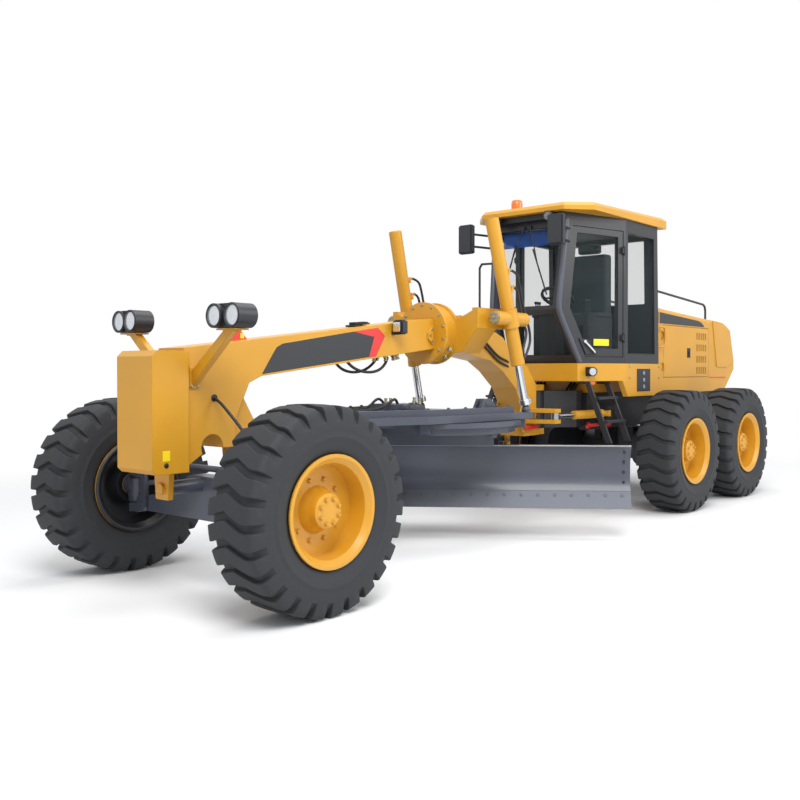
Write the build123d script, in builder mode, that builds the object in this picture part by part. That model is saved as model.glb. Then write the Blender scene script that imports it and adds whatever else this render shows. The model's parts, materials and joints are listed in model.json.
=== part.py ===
from build123d import *
import math
import os

os.makedirs("parts", exist_ok=True)

# A motor grader in millimetres: +X ahead, +Y to its left, +Z up, the ground at Z = 0 and the
# origin half way along its length.  Stations along X are counted from the front axle.

# ---- overall driving dimensions ----
WHEELBASE = 6219            # front axle to the middle of the tandem
TANDEM_SPACING = 1538       # between the two rear axles
REAR_OVERHANG = 2088        # middle of the tandem to the rear bumper
TYRE_R = 663                # to the tips of the lugs, as it parks
TYRE_W = 445
LUG_COUNT = 26
LUG_H = 26                  # the tread's grooves are this deep
GROOVE_W = 56
FRONT_TRACK = 2150          # between the middles of the front tyres
REAR_TRACK = 2080
FRONT_X = (WHEELBASE + REAR_OVERHANG - TYRE_R) / 2
TANDEM_X = -WHEELBASE       # station of the tandem's middle
REAR_END = TANDEM_X - REAR_OVERHANG
GAP = 0.3                   # running gap between curved faces of two bodies

# ---- wheels ----
BEAD_R = 318
FLANGE_R = 358
RIM_W = 410                 # over both flanges
RIM_T = 18
HUB_POCKET_R = 80
HUB_POCKET_END = 30          # the pocket stops this far outboard of the tyre's middle
FRONT_HUB_IN = -105         # inner end of a hub, from the tyre's middle
REAR_HUB_IN = -160
DISC_T = 22
FRONT_DISC = 40             # the disc's outer face, outboard of the tyre's middle
REAR_DISC = 20
AXLE_R = HUB_POCKET_R - GAP

# ---- front axle ----
AXLE_PIVOT_Z = 738
AXLE_PIVOT_R = 50
PIVOT_PLATES = (-200, 335)  # faces between which the axle's pivot bar lies
LEAN_PIN_Y = 700
LEAN_PIN_Z = 545
LEAN_PIN_R = 28
LEAN_BAR_Z = 845
LEAN_BAR_R = 22
FORK_IN = 74                # the fork plates of a lean bracket
FORK_OUT = 100
KINGPIN_Y = 880
KINGPIN_R = 45
KINGPIN_LOW = 465
KINGPIN_HIGH = 842
TIE_ARM = 230               # kingpin to tie-rod pin
TIE_ARM_Z = (650, 685)
TIE_ROD_Z = 612
TIE_ROD_R = 22

# ---- front frame ----
BEAM_HALF_W = 145
BEAM_DEPTH = 273
BEAM_SLOPE = 0.1206         # rise per length, going back
NOSE_TOP = 1668
NOSE_BOTTOM = 858
NOSE_FRONT = 578
NOSE_BACK = 300
NOSE_HALF_W = 205
POST_X = 237                # the headlight posts
LAMP_Y = 569
LAMP_LOW = 1798
LAMP_R = 80
SADDLE_X = -2370
SADDLE_R = 280
SADDLE_T = 110

# ---- articulation ----
HINGE_X = -4130
HINGE_R = 110
HINGE_PIN_R = 50
HINGE_LOW = 870
HINGE_HIGH = 1390
EAR_T = 60
ART_EYE = (230, 410)        # the rod's pin, ahead of and beside the hinge
ART_BASE = (-720, 470)      # the barrel's pin
ART_Z = 1075
ART_PIN_R = 20

# ---- drawbar, circle and blade ----
BALL_X = -330
BALL_Z = 870
BALL_FLAT = 925             # the ball is cut flat at this height, under its stub
BALL_R = 70
CIRCLE_X = -2480
CIRCLE_R = 800
CIRCLE_TOP = 1090
RING_T = 40
TOOTH_COUNT = 64
PINION_TEETH = 12
PITCH_R = 672
DRAWBAR_LOW = 1095
DRAWBAR_TOP = 1155
LIFT_BALL_X = -3040
LIFT_BALL_Y = 640
LIFT_BALL_Z = 1180
LIFT_BALL_R = 42
LIFT_TOP = (-2589, 579, 2883)
YOKE_Z = 2006
LIFT_BARREL_R = 62
LIFT_ROD_R = 36
LIFT_BARREL_LOW = 1590
LIFT_ROD_TOP = 2620
EYE_GAP = 9                 # the lift rod's cup over its ball
BLADE_ANGLE = 35            # right end forward
BLADE_LENGTH = 3660
BLADE_OFFSET = -35          # side shift as it stands, to the right
BLADE_BOTTOM = 290
BLADE_H = 560
BLADE_T = 22
EDGE_H = 150                # the cutting edge's height
ARM_Y = 560                 # middle of a circle arm
ARM_T = 50
TIP_PIN = (CIRCLE_X - 270, 470)     # station and height of the blade's tip hinge
RAIL_LOW_Z = 490            # the blade's slide rails
RAIL_HIGH_Z = 710
BRACKET_IN = 592
BRACKET_OUT = 760
SHIFT_Z = 600

# ---- rear frame, cab and hood ----
RAIL_Y = 330
RAIL_W = 90
RAIL_LOW = 900
RAIL_HIGH = 1300
TANDEM_CASE_Y = 640         # middle of a tandem case
TANDEM_CASE_W = 180
TANDEM_CASE_R = 190
CAB_HALF_W = 700
CAB_FLOOR = 1614
CAB_ROOF = 3235
ROOF_LOW = 3160             # lower edge of the roof panel
CAB_T = 60
CAB_REAR = -5640
HOOD_HALF_W = 550
HOOD_FRONT = -5690
HOOD_BACK = -7948            # the hood's lower rear corner
SKIRT_LOW = 1258            # lower edge of the cab's and the hood's skirts
SKIRT_T = 15
GLASS_T = 8


def sta(x):
    """X of a station counted from the front axle."""
    return FRONT_X + x


def at(point):
    """A point whose X is counted from the front axle."""
    return Vector(sta(point[0]), point[1], point[2])


def beam_top(x):
    return 1778 - BEAM_SLOPE * (x + 430)


def beam_bottom(x):
    return beam_top(x) - BEAM_DEPTH


def side_plate(outline, y_from, y_to, mode=Mode.ADD):
    """An outline of (station, Z) points, from one Y to another."""
    with BuildSketch(Plane.XZ.offset(-y_from)) as profile:
        with BuildLine():
            Polyline(*[(sta(x), z) for x, z in outline], close=True)
        make_face()
    extrude(profile.sketch, amount=y_from - y_to, mode=mode)


def level_plate(outline, z_from, z_to, mode=Mode.ADD):
    """An outline of (station, Y) points, from one Z to another."""
    with BuildSketch(Plane.XY.offset(z_from)) as profile:
        with BuildLine():
            Polyline(*[(sta(x), y) for x, y in outline], close=True)
        make_face()
    extrude(profile.sketch, amount=z_to - z_from, mode=mode)


def cross_plate(outline, x_from, x_to, mode=Mode.ADD):
    """An outline of (Y, Z) points, from one station to another."""
    with BuildSketch(Plane.YZ.offset(sta(x_from))) as profile:
        with BuildLine():
            Polyline(*outline, close=True)
        make_face()
    extrude(profile.sketch, amount=x_to - x_from, mode=mode)


def block(x, y, z, mode=Mode.ADD):
    """A block between two stations, two Ys and two Zs."""
    level_plate([(x[0], y[0]), (x[1], y[0]), (x[1], y[1]), (x[0], y[1])], z[0], z[1], mode)


def bar(start, end, radius, mode=Mode.ADD, bore=0):
    """A round bar or tube between two points."""
    run = at(end) - at(start)
    with BuildSketch(Plane(origin=at(start), z_dir=run)) as section:
        Circle(radius)
        if bore:
            Circle(bore, mode=Mode.SUBTRACT)
    extrude(section.sketch, amount=run.length, mode=mode)


def save(piece, name):
    piece.part.label = name
    export_step(piece.part, f"parts/{name}.step")


def save_turned(piece, name):
    """Save a piece of the circle or blade, drawn square to the machine, at the blade's angle."""
    piece.part = piece.part.rotate(Axis((sta(CIRCLE_X), 0, 0), (0, 0, 1)), BLADE_ANGLE)
    save(piece, name)


# ---------------------------------------------------------------- wheels
WHEELS = [  # name, station of the axle, half track, side, disc place, hub end
    ("front_left", 0, FRONT_TRACK / 2, 1, FRONT_DISC, FRONT_HUB_IN),
    ("front_right", 0, FRONT_TRACK / 2, -1, FRONT_DISC, FRONT_HUB_IN),
    ("middle_left", TANDEM_X + TANDEM_SPACING / 2, REAR_TRACK / 2, 1, REAR_DISC, REAR_HUB_IN),
    ("middle_right", TANDEM_X + TANDEM_SPACING / 2, REAR_TRACK / 2, -1, REAR_DISC, REAR_HUB_IN),
    ("rear_left", TANDEM_X - TANDEM_SPACING / 2, REAR_TRACK / 2, 1, REAR_DISC, REAR_HUB_IN),
    ("rear_right", TANDEM_X - TANDEM_SPACING / 2, REAR_TRACK / 2, -1, REAR_DISC, REAR_HUB_IN),
]


def wheel_plane(x, y, side):
    """Plane whose X runs along the axle, outboard, and whose Y is the radius."""
    return Plane(origin=(sta(x), y * side, TYRE_R), x_dir=(0, side, 0), z_dir=(-side, 0, 0))


def groove_planes(x, y, side):
    """Planes on the floors of a tread's grooves, evenly round the tyre, each facing outward."""
    centre = Vector(sta(x), y * side, TYRE_R)
    planes = []
    for number in range(LUG_COUNT):
        turn = math.radians(-90 + 360 * (number + 0.5) / LUG_COUNT)
        outward = Vector(math.cos(turn), 0, math.sin(turn))
        planes.append(Plane(origin=centre + outward * (TYRE_R - LUG_H), x_dir=(0, side, 0), z_dir=outward))
    return planes


def groove_outline(side):
    """A zigzag across the tread, from (outboard, round the tyre) points of its middle line."""
    reach = TYRE_W / 2 + 10
    line = [(-reach, -20), (-30, 35), (120, -30), (reach, -30)]
    front = [(u, side * (v - GROOVE_W / 2)) for u, v in line]
    back = [(u, side * (v + GROOVE_W / 2)) for u, v in reversed(line)]
    return front + back


def tyre(x, y, side):
    """A tyre turned about its axle, out to the tips of its lugs."""
    half = TYRE_W / 2 - 3
    with BuildPart() as ring:
        with BuildSketch(wheel_plane(x, y, side)) as section:
            with BuildLine():
                Line((-half + 62, BEAD_R), (half - 62, BEAD_R))
                RadiusArc((half - 62, BEAD_R), (half, 500), -240)
                Line((half, 500), (half - 12, 610))
                RadiusArc((half - 12, 610), (half - 45, TYRE_R - 6), -60)
                ThreePointArc((half - 45, TYRE_R - 6), (0, TYRE_R), (-half + 45, TYRE_R - 6))
                RadiusArc((-half + 45, TYRE_R - 6), (-half + 12, 610), -60)
                Line((-half + 12, 610), (-half, 500))
                RadiusArc((-half, 500), (-half + 62, BEAD_R), -240)
            make_face()
        revolve(section.sketch, axis=Axis((sta(x), 0, TYRE_R), (0, 1, 0)))
        with BuildSketch(*groove_planes(x, y, side)):
            with BuildLine():
                Polyline(*groove_outline(side), close=True)
            make_face()
        extrude(amount=LUG_H + 5, mode=Mode.SUBTRACT)
    return ring


def wheel(x, y, side, disc, hub_in):
    """Rim, dished disc and hub as one turned piece, bored from inboard for its axle."""
    half = RIM_W / 2
    seat = BEAD_R
    outline = [
        (half, FLANGE_R), (half, FLANGE_R - 24), (half - 32, seat - RIM_T), (disc, seat - RIM_T - 8),
        (disc, 150), (disc + 60, 120), (disc + 110, 112), (disc + 122, 96), (disc + 122, 0),
        (hub_in, 0), (hub_in, 130), (disc - DISC_T - 30, 150), (disc - DISC_T, 190),
        (disc - DISC_T, seat - RIM_T - 8), (-half + 32, seat - RIM_T),
        (-half, FLANGE_R - 24), (-half, FLANGE_R), (-half + 14, FLANGE_R), (-half + 26, seat),
        (half - 26, seat), (half - 14, FLANGE_R),
    ]
    with BuildPart() as turned:
        with BuildSketch(wheel_plane(x, y, side)) as section:
            with BuildLine():
                Polyline(*outline, close=True)
            make_face()
        revolve(section.sketch, axis=Axis((sta(x), 0, TYRE_R), (0, 1, 0)))
        bar((x, (y + hub_in - 1) * side, TYRE_R), (x, (y + HUB_POCKET_END) * side, TYRE_R), HUB_POCKET_R,
            Mode.SUBTRACT)
    return turned


for wheel_name, wheel_x, wheel_y, wheel_side, disc_place, hub_end in WHEELS:
    save(tyre(wheel_x, wheel_y, wheel_side), f"tyre_{wheel_name}")
    save(wheel(wheel_x, wheel_y, wheel_side, disc_place, hub_end), f"wheel_{wheel_name}")

# ---------------------------------------------------------------- front axle
SIDES = ((1, "left"), (-1, "right"))

with BuildPart() as front_axle:
    cross_plate([(-690, 490), (690, 490), (690, 600), (330, 660), (130, 795), (-130, 795),
                 (-330, 660), (-690, 600)], -70, 70)
    for side, hand in SIDES:
        end = LEAN_PIN_Y * side
        bar((-70, end, LEAN_PIN_Z), (70, end, LEAN_PIN_Z), 55)
        bar((-FORK_OUT - 4, end, LEAN_PIN_Z), (FORK_OUT + 4, end, LEAN_PIN_Z), LEAN_PIN_R)
    bar((PIVOT_PLATES[0], 0, AXLE_PIVOT_Z), (PIVOT_PLATES[1], 0, AXLE_PIVOT_Z), AXLE_PIVOT_R)
save(front_axle, "front_axle")


def lean_bracket(side):
    """Fork on the lean pin that carries the kingpin in two bosses, open between for the steering arm."""
    pin = LEAN_PIN_Y * side
    king = KINGPIN_Y * side
    shape = [(640, 520), (665, 488), (850, 470), (850, 535), (752, 545), (745, 590), (700, 606), (700, 738),
             (760, 748), (850, 748), (850, 835), (765, 835), (745, 880), (700, 892), (655, 880), (640, 845)]
    with BuildPart() as bracket:
        for face in ((-FORK_OUT, -FORK_IN), (FORK_IN, FORK_OUT)):
            cross_plate([(y * side, z) for y, z in shape], *face)
        for low, high in ((470, 535), (748, 835)):
            block((-FORK_IN - 1, FORK_IN + 1), sorted((768 * side, 850 * side)), (low, high))
            block((-66, 66), sorted((849 * side, king)), (low, high))
            bar((0, king, low), (0, king, high), 66)
        bar((-FORK_OUT - 1, pin, LEAN_PIN_Z), (FORK_OUT + 1, pin, LEAN_PIN_Z), LEAN_PIN_R + GAP, Mode.SUBTRACT)
        bar((0, king, 469), (0, king, 836), KINGPIN_R + GAP, Mode.SUBTRACT)
        bar((-FORK_OUT, pin, LEAN_BAR_Z), (FORK_OUT, pin, LEAN_BAR_Z), 18)
    return bracket


def knuckle(side):
    """Kingpin, its barrel, the wheel's spindle and the steering arm."""
    king = KINGPIN_Y * side
    outer = (FRONT_TRACK / 2 + HUB_POCKET_END - 5) * side
    with BuildPart() as carrier:
        bar((0, king, KINGPIN_LOW), (0, king, KINGPIN_HIGH), KINGPIN_R)
        bar((0, king, 540), (0, king, 717), 74)
        bar((0, king, TYRE_R), (0, outer, TYRE_R), AXLE_R)
        block((-TIE_ARM, 0), (king - 24, king + 24), TIE_ARM_Z)
        bar((-TIE_ARM, king, TIE_ARM_Z[0]), (-TIE_ARM, king, TIE_ARM_Z[1]), 36)
    return carrier


for side, hand in SIDES:
    save(lean_bracket(side), f"lean_bracket_{hand}")
    save(knuckle(side), f"steering_knuckle_{hand}")

with BuildPart() as lean_bar:
    bar((0, -LEAN_PIN_Y, LEAN_BAR_Z), (0, LEAN_PIN_Y, LEAN_BAR_Z), LEAN_BAR_R)
    for side, hand in SIDES:
        bar((-30, LEAN_PIN_Y * side, LEAN_BAR_Z), (30, LEAN_PIN_Y * side, LEAN_BAR_Z), 38)
    for side, hand in SIDES:
        bar((-31, LEAN_PIN_Y * side, LEAN_BAR_Z), (31, LEAN_PIN_Y * side, LEAN_BAR_Z), 18 + GAP, Mode.SUBTRACT)
save(lean_bar, "lean_bar")

with BuildPart() as tie_rod_swivel:
    bar((-TIE_ARM, KINGPIN_Y, TIE_ARM_Z[0] - GAP), (-TIE_ARM, KINGPIN_Y, TIE_ARM_Z[0] - 9), 24)
    bar((-TIE_ARM, KINGPIN_Y, TIE_ARM_Z[0] - 8), (-TIE_ARM, KINGPIN_Y, TIE_ROD_Z), 12)
    bar((-TIE_ARM - 27, KINGPIN_Y, TIE_ROD_Z), (-TIE_ARM + 27, KINGPIN_Y, TIE_ROD_Z), 14)
save(tie_rod_swivel, "tie_rod_swivel")

with BuildPart() as tie_rod:
    bar((-TIE_ARM, -KINGPIN_Y + 20, TIE_ROD_Z), (-TIE_ARM, KINGPIN_Y - 40, TIE_ROD_Z), TIE_ROD_R)
    bar((-TIE_ARM, -KINGPIN_Y, TIE_ROD_Z - 26), (-TIE_ARM, -KINGPIN_Y, TIE_ROD_Z + 26), 26)
    block((-TIE_ARM - 27, -TIE_ARM + 27), (KINGPIN_Y - 52, KINGPIN_Y - 34), (TIE_ROD_Z - 20, TIE_ROD_Z + 20))
    for cheek in ((-27, -15), (15, 27)):
        low, high = (cheek[0] - TIE_ARM, cheek[1] - TIE_ARM)
        block((low, high), (KINGPIN_Y - 36, KINGPIN_Y), (TIE_ROD_Z - 20, TIE_ROD_Z + 20))
        bar((low, KINGPIN_Y, TIE_ROD_Z), (high, KINGPIN_Y, TIE_ROD_Z), 22)
    bar((-TIE_ARM - 28, KINGPIN_Y, TIE_ROD_Z), (-TIE_ARM + 28, KINGPIN_Y, TIE_ROD_Z), 14 + GAP, Mode.SUBTRACT)
save(tie_rod, "tie_rod")

# ---------------------------------------------------------------- front frame
NECK_TOP = [(-2700, beam_top(-2700)), (-3103, 1928), (-3247, 1908), (-3366, 1862), (-3623, 1660),
            (-3800, 1575), (-3960, 1390)]
NECK_BOTTOM = [(-3960, HINGE_LOW), (-3728, HINGE_LOW), (-3728, 1142), (-3582, 1363), (-3366, 1529),
               (-3169, 1633), (-2948, 1663), (-2458, beam_bottom(-2458)), (-360, beam_bottom(-360))]
LEG_BACK = -125
CUT_X = 70
CUT_Z = 1007
CUT_R = 90

with BuildPart() as front_frame:
    with BuildSketch(Plane.XZ.offset(-BEAM_HALF_W)) as side_view:
        with BuildLine():
            Polyline((sta(NOSE_BACK), 875), (sta(NOSE_BACK), beam_top(NOSE_BACK)),
                     *[(sta(x), z) for x, z in NECK_TOP + NECK_BOTTOM],
                     (sta(-250), 1450), (sta(LEG_BACK), 1185), (sta(LEG_BACK), 1000),
                     (sta(CUT_X - CUT_R), 1000), (sta(CUT_X - CUT_R), CUT_Z))
            ThreePointArc((sta(CUT_X - CUT_R), CUT_Z), (sta(CUT_X), CUT_Z + CUT_R),
                          (sta(CUT_X + 80), CUT_Z - 41))
            Line((sta(CUT_X + 80), CUT_Z - 41), (sta(NOSE_BACK), 875))
        make_face()
    extrude(side_view.sketch, amount=2 * BEAM_HALF_W)
    side_plate([(NOSE_BACK - 1, NOSE_BOTTOM), (NOSE_FRONT - 30, NOSE_BOTTOM), (NOSE_FRONT, NOSE_BOTTOM + 30),
                (NOSE_FRONT, NOSE_TOP - 40), (NOSE_FRONT - 40, NOSE_TOP), (NOSE_BACK - 1, NOSE_TOP)],
               -NOSE_HALF_W, NOSE_HALF_W)
    for low in (HINGE_LOW, HINGE_HIGH - EAR_T):
        level_plate([(-3940, -BEAM_HALF_W), (-3940, BEAM_HALF_W), (HINGE_X + 40, HINGE_R),
                     (HINGE_X, HINGE_R), (HINGE_X, -HINGE_R), (HINGE_X + 40, -HINGE_R)], low, low + EAR_T)
        bar((HINGE_X, 0, low), (HINGE_X, 0, low + EAR_T), HINGE_R)
    for side, hand in SIDES:
        eye_x = HINGE_X + ART_EYE[0]
        eye_y = ART_EYE[1] * side
        for low in (ART_Z - 75, ART_Z + 35):
            level_plate([(-3740, (BEAM_HALF_W - 5) * side), (-3955, (BEAM_HALF_W - 5) * side), (eye_x - 50, eye_y),
                         (eye_x - 50, eye_y + 40 * side), (eye_x + 50, eye_y + 40 * side)], low, low + 40)
    bar((HINGE_X, 0, HINGE_LOW - 1), (HINGE_X, 0, HINGE_HIGH + 1), HINGE_PIN_R + GAP, Mode.SUBTRACT)
    side_plate([(LEG_BACK + 5, 1000), (BALL_X - 80, 1000), (BALL_X - 80, 1060), (-220, 1390), (LEG_BACK + 5, 1390)],
               -80, 80)
    bar((BALL_X, 0, BALL_FLAT + GAP), (BALL_X, 0, 1001), 42)
    plate = [(-70, 665), (70, 665), (110, 1000), (-110, 1000)]
    cross_plate(plate, PIVOT_PLATES[0] - 35, PIVOT_PLATES[0])
    block((PIVOT_PLATES[0] - 35, LEG_BACK + 5), (-110, 110), (999, 1030))
    cross_plate([(-70, 665), (70, 665), (90, NOSE_BOTTOM + 1), (-90, NOSE_BOTTOM + 1)],
                PIVOT_PLATES[1], PIVOT_PLATES[1] + 40)
    bar((PIVOT_PLATES[1] + 39, 0, AXLE_PIVOT_Z), (PIVOT_PLATES[1] + 60, 0, AXLE_PIVOT_Z), 40)
    for side, hand in SIDES:
        foot_y = sorted((BEAM_HALF_W * side, (BEAM_HALF_W + 12) * side))
        block((POST_X - 55, POST_X + 25), foot_y, (1415, 1560))
        cross_plate([((BEAM_HALF_W + 10) * side, 1430), ((BEAM_HALF_W + 10) * side, 1530),
                     ((LAMP_Y - 60) * side, LAMP_LOW), ((LAMP_Y + 60) * side, LAMP_LOW),
                     ((LAMP_Y + 60) * side, LAMP_LOW - 8), ((LAMP_Y + 20) * side, LAMP_LOW - 10)],
                    POST_X - 40, POST_X + 10)
        block((POST_X - 75, POST_X + 45), sorted(((LAMP_Y - 90) * side, (LAMP_Y + 90) * side)),
              (LAMP_LOW, LAMP_LOW + 10))
        side_plate([(-2280, beam_top(-2280) - 60), (-2215, beam_top(-2215) - 125), (-2215, beam_bottom(-2215) + 95),
                    (-2280, beam_bottom(-2280) + 40)],
                   *sorted(((BEAM_HALF_W - 1) * side, (BEAM_HALF_W + 20) * side)))
        side_plate([(-3770, HINGE_LOW + 40), (-3770, 1250), (-3700, 1250), (-3640, 1110), (-3700, HINGE_LOW + 40)],
                   *sorted(((BEAM_HALF_W - 1) * side, (BEAM_HALF_W + 12) * side)))
save(front_frame, "front_frame")


def yoke_point(side):
    """Where a lift cylinder's axis crosses its yoke."""
    top = Vector(*LIFT_TOP)
    ball = Vector(LIFT_BALL_X, LIFT_BALL_Y, LIFT_BALL_Z)
    share = (top.Z - YOKE_Z) / (top.Z - ball.Z)
    point = top + (ball - top) * share
    return Vector(point.X, point.Y * side, point.Z)


def lift_point(side, z):
    """A point of the lift cylinder's axis at a height."""
    top = Vector(*LIFT_TOP)
    ball = Vector(LIFT_BALL_X, LIFT_BALL_Y, LIFT_BALL_Z)
    point = top + (ball - top) * ((top.Z - z) / (top.Z - ball.Z))
    return (point.X, point.Y * side, point.Z)


YOKE_X = yoke_point(1).X
YOKE_Y = yoke_point(1).Y
YOKE_IN = YOKE_Y - 105
YOKE_STUB = 24
GIMBAL_REACH = 235          # the cross bar that a lift barrel hangs in, ahead of and behind its axis
GIMBAL_R = 62

saddle_z = (beam_top(SADDLE_X) + beam_bottom(SADDLE_X)) / 2
with BuildPart() as saddle:
    bar((SADDLE_X + SADDLE_T / 2 - 40, 0, saddle_z), (SADDLE_X + SADDLE_T / 2, 0, saddle_z), SADDLE_R)
    bar((SADDLE_X - SADDLE_T, 0, saddle_z), (SADDLE_X + SADDLE_T / 2 - 39, 0, saddle_z), SADDLE_R - 18)
    bar((SADDLE_X - SADDLE_T - 30, 0, saddle_z), (SADDLE_X - SADDLE_T + 1, 0, saddle_z), SADDLE_R)
    for side, hand in SIDES:
        cross_plate([((BEAM_HALF_W - 5) * side, 1690), (320 * side, 1700), (YOKE_IN * side, YOKE_Z - 90),
                     (YOKE_IN * side, YOKE_Z + 90), (300 * side, 2010), ((BEAM_HALF_W - 5) * side, 2010)],
                    -2760, -2480)
        block((YOKE_X - 70, -2480), sorted((YOKE_IN * side, (YOKE_IN - 60) * side)),
              (YOKE_Z - 90, YOKE_Z + 90))
        bar((YOKE_X, (YOKE_IN - 1) * side, YOKE_Z), (YOKE_X, (YOKE_IN + YOKE_STUB) * side, YOKE_Z), 34)
    block((-2700, SADDLE_X), (-BEAM_HALF_W - 40, BEAM_HALF_W + 40), (1700, 1990))
    add(front_frame.part, mode=Mode.SUBTRACT)
save(saddle, "saddle")

for side, hand in SIDES:
    pin = yoke_point(side)
    with BuildPart() as barrel:
        bar(lift_point(side, LIFT_TOP[2]), lift_point(side, LIFT_BARREL_LOW), LIFT_BARREL_R)
        bar(lift_point(side, YOKE_Z + 80), lift_point(side, YOKE_Z - 80), 78)
        bar((pin.X, pin.Y, pin.Z), (pin.X, (YOKE_IN + 1) * side, pin.Z), 60)
        bar((pin.X - GIMBAL_REACH, pin.Y, pin.Z), (pin.X + GIMBAL_REACH, pin.Y, pin.Z), GIMBAL_R)
        for low, high in ((YOKE_Z + 260, YOKE_Z + 300), (YOKE_Z + 420, YOKE_Z + 450)):
            back = lift_point(side, low)
            bar((back[0] - 96, back[1], low), (back[0], back[1], low), 18)
            block((back[0] - 104, back[0] - 84), sorted((back[1] - 24, back[1] + 24)), (low - 24, high))
        bar((pin.X, (YOKE_IN + YOKE_STUB + 2) * side, pin.Z), (pin.X, YOKE_IN * side, pin.Z), 34 + GAP,
            Mode.SUBTRACT)
        bar(lift_point(side, LIFT_TOP[2] - 60), lift_point(side, LIFT_BARREL_LOW - 2), LIFT_ROD_R + GAP,
            Mode.SUBTRACT)
    save(barrel, f"lift_barrel_{hand}")
    with BuildPart() as rod:
        bar(lift_point(side, LIFT_ROD_TOP), lift_point(side, LIFT_BALL_Z + 75), LIFT_ROD_R)
        bar((LIFT_BALL_X + 14, (LIFT_BALL_Y - 2) * side, LIFT_BALL_Z + 95),
            (LIFT_BALL_X, LIFT_BALL_Y * side, LIFT_BALL_Z + LIFT_BALL_R + EYE_GAP), 55)
    save(rod, f"lift_rod_{hand}")

# ---------------------------------------------------------------- drawbar and circle
with BuildPart() as drawbar_ball:
    with Locations((sta(BALL_X), 0, BALL_Z)):
        Sphere(BALL_R)
    block((BALL_X - BALL_R, BALL_X + BALL_R), (-BALL_R, BALL_R), (BALL_FLAT, BALL_FLAT + 30), Mode.SUBTRACT)
save(drawbar_ball, "drawbar_ball")

SPINE = [(-950, 140), (-1780, 490), (-2100, 572), (-2900, 600), (-2900, 530), (-2115, 508), (-1800, 430),
         (-980, 100)]
RING_LOW = CIRCLE_TOP - 100
RING_FLANGE = CIRCLE_TOP - RING_T
RING_BORE = 690
RING_BODY_R = 745
SHOES = (35, -35, 135, -135)        # where the ring's guide shoes stand round it
PINION_R = PITCH_R * PINION_TEETH / TOOTH_COUNT
PINION_X = CIRCLE_X + PITCH_R - PINION_R


def shoe_part(angle, r_from, r_to, z_from, z_to):
    """One block of a guide shoe, at an angle round the circle."""
    centre = Plane((sta(CIRCLE_X), 0, z_from)).rotated((0, 0, angle))
    with BuildSketch(centre) as plan:
        with Locations(((r_from + r_to) / 2, 0)):
            Rectangle(r_to - r_from, 90)
    extrude(plan.sketch, amount=z_to - z_from)


with BuildPart() as drawbar:
    level_plate([(-640, 60), (-900, 200), (-1750, 560), (-2100, 640), (LIFT_BALL_X - 60, 680),
                 (LIFT_BALL_X - 60, -680), (-2100, -640), (-1750, -560), (-900, -200), (-640, -60)],
                DRAWBAR_LOW, DRAWBAR_TOP)
    level_plate([(-1150, 0), (-1800, 330), (-2900, 430), (-2900, -430), (-1800, -330)],
                DRAWBAR_LOW - 1, DRAWBAR_TOP + 1, Mode.SUBTRACT)
    level_plate([(-1790, 420), (-2080, 420), (-2080, -420), (-1790, -420)], DRAWBAR_LOW, DRAWBAR_TOP)
    block((PINION_X - 140, PINION_X + 130), (-130, 130), (DRAWBAR_TOP - 1, DRAWBAR_TOP + 95))
    bar((PINION_X, 129, DRAWBAR_TOP + 50), (PINION_X, 330, DRAWBAR_TOP + 50), 44)
    bar((PINION_X, 190, DRAWBAR_TOP + 50), (PINION_X, 215, DRAWBAR_TOP + 50), 58)
    for side, hand in SIDES:
        level_plate([(x, y * side) for x, y in SPINE], DRAWBAR_TOP - 1, DRAWBAR_TOP + 55)
    for y in (428, 492):
        side_plate([(-2820, DRAWBAR_TOP - 1), (-2480, DRAWBAR_TOP - 1), (-2560, 1285), (-2660, 1285)], y, y + 26)
    bar((-2610, 424, 1245), (-2610, 522, 1245), 26)
    side_plate([(BALL_X - 12, BALL_Z - 45), (BALL_X - 12, BALL_Z + 40), (BALL_X - 100, BALL_Z + 70),
                (-700, DRAWBAR_TOP), (-1300, DRAWBAR_TOP), (-1300, DRAWBAR_LOW), (-700, DRAWBAR_LOW - 45),
                (BALL_X - 110, BALL_Z - 60)], -85, 85)
    with Locations((sta(BALL_X), 0, BALL_Z)):
        Sphere(BALL_R + GAP, mode=Mode.SUBTRACT)
    for angle in SHOES:
        shoe_part(angle, RING_BODY_R + 4, 845, RING_FLANGE - 40, RING_FLANGE - GAP)
        shoe_part(angle, CIRCLE_R + 4, 845, RING_FLANGE - 1, DRAWBAR_LOW + 1)
        shoe_part(angle, RING_BODY_R + 4, CIRCLE_R + 6, CIRCLE_TOP + GAP, DRAWBAR_LOW + 1)
    for side, hand in SIDES:
        ball = (LIFT_BALL_X, LIFT_BALL_Y * side, LIFT_BALL_Z)
        bar((LIFT_BALL_X, LIFT_BALL_Y * side, DRAWBAR_TOP - 1), ball, 24)
        with Locations(at(ball)):
            Sphere(LIFT_BALL_R)
save(drawbar, "drawbar")


def gear_teeth(centre_x, count, phase, root, root_half, tip, tip_half, z_from, z_to):
    """Tapering teeth round a centre; a tip nearer the centre than the root makes them inward."""
    with BuildSketch(Plane((sta(centre_x), 0, z_from))) as teeth:
        with PolarLocations(0, count, phase):
            with BuildLine():
                Polyline((root, -root_half), (tip, -tip_half), (tip, tip_half), (root, root_half), close=True)
            make_face()
    extrude(teeth.sketch, amount=z_to - z_from)


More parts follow.
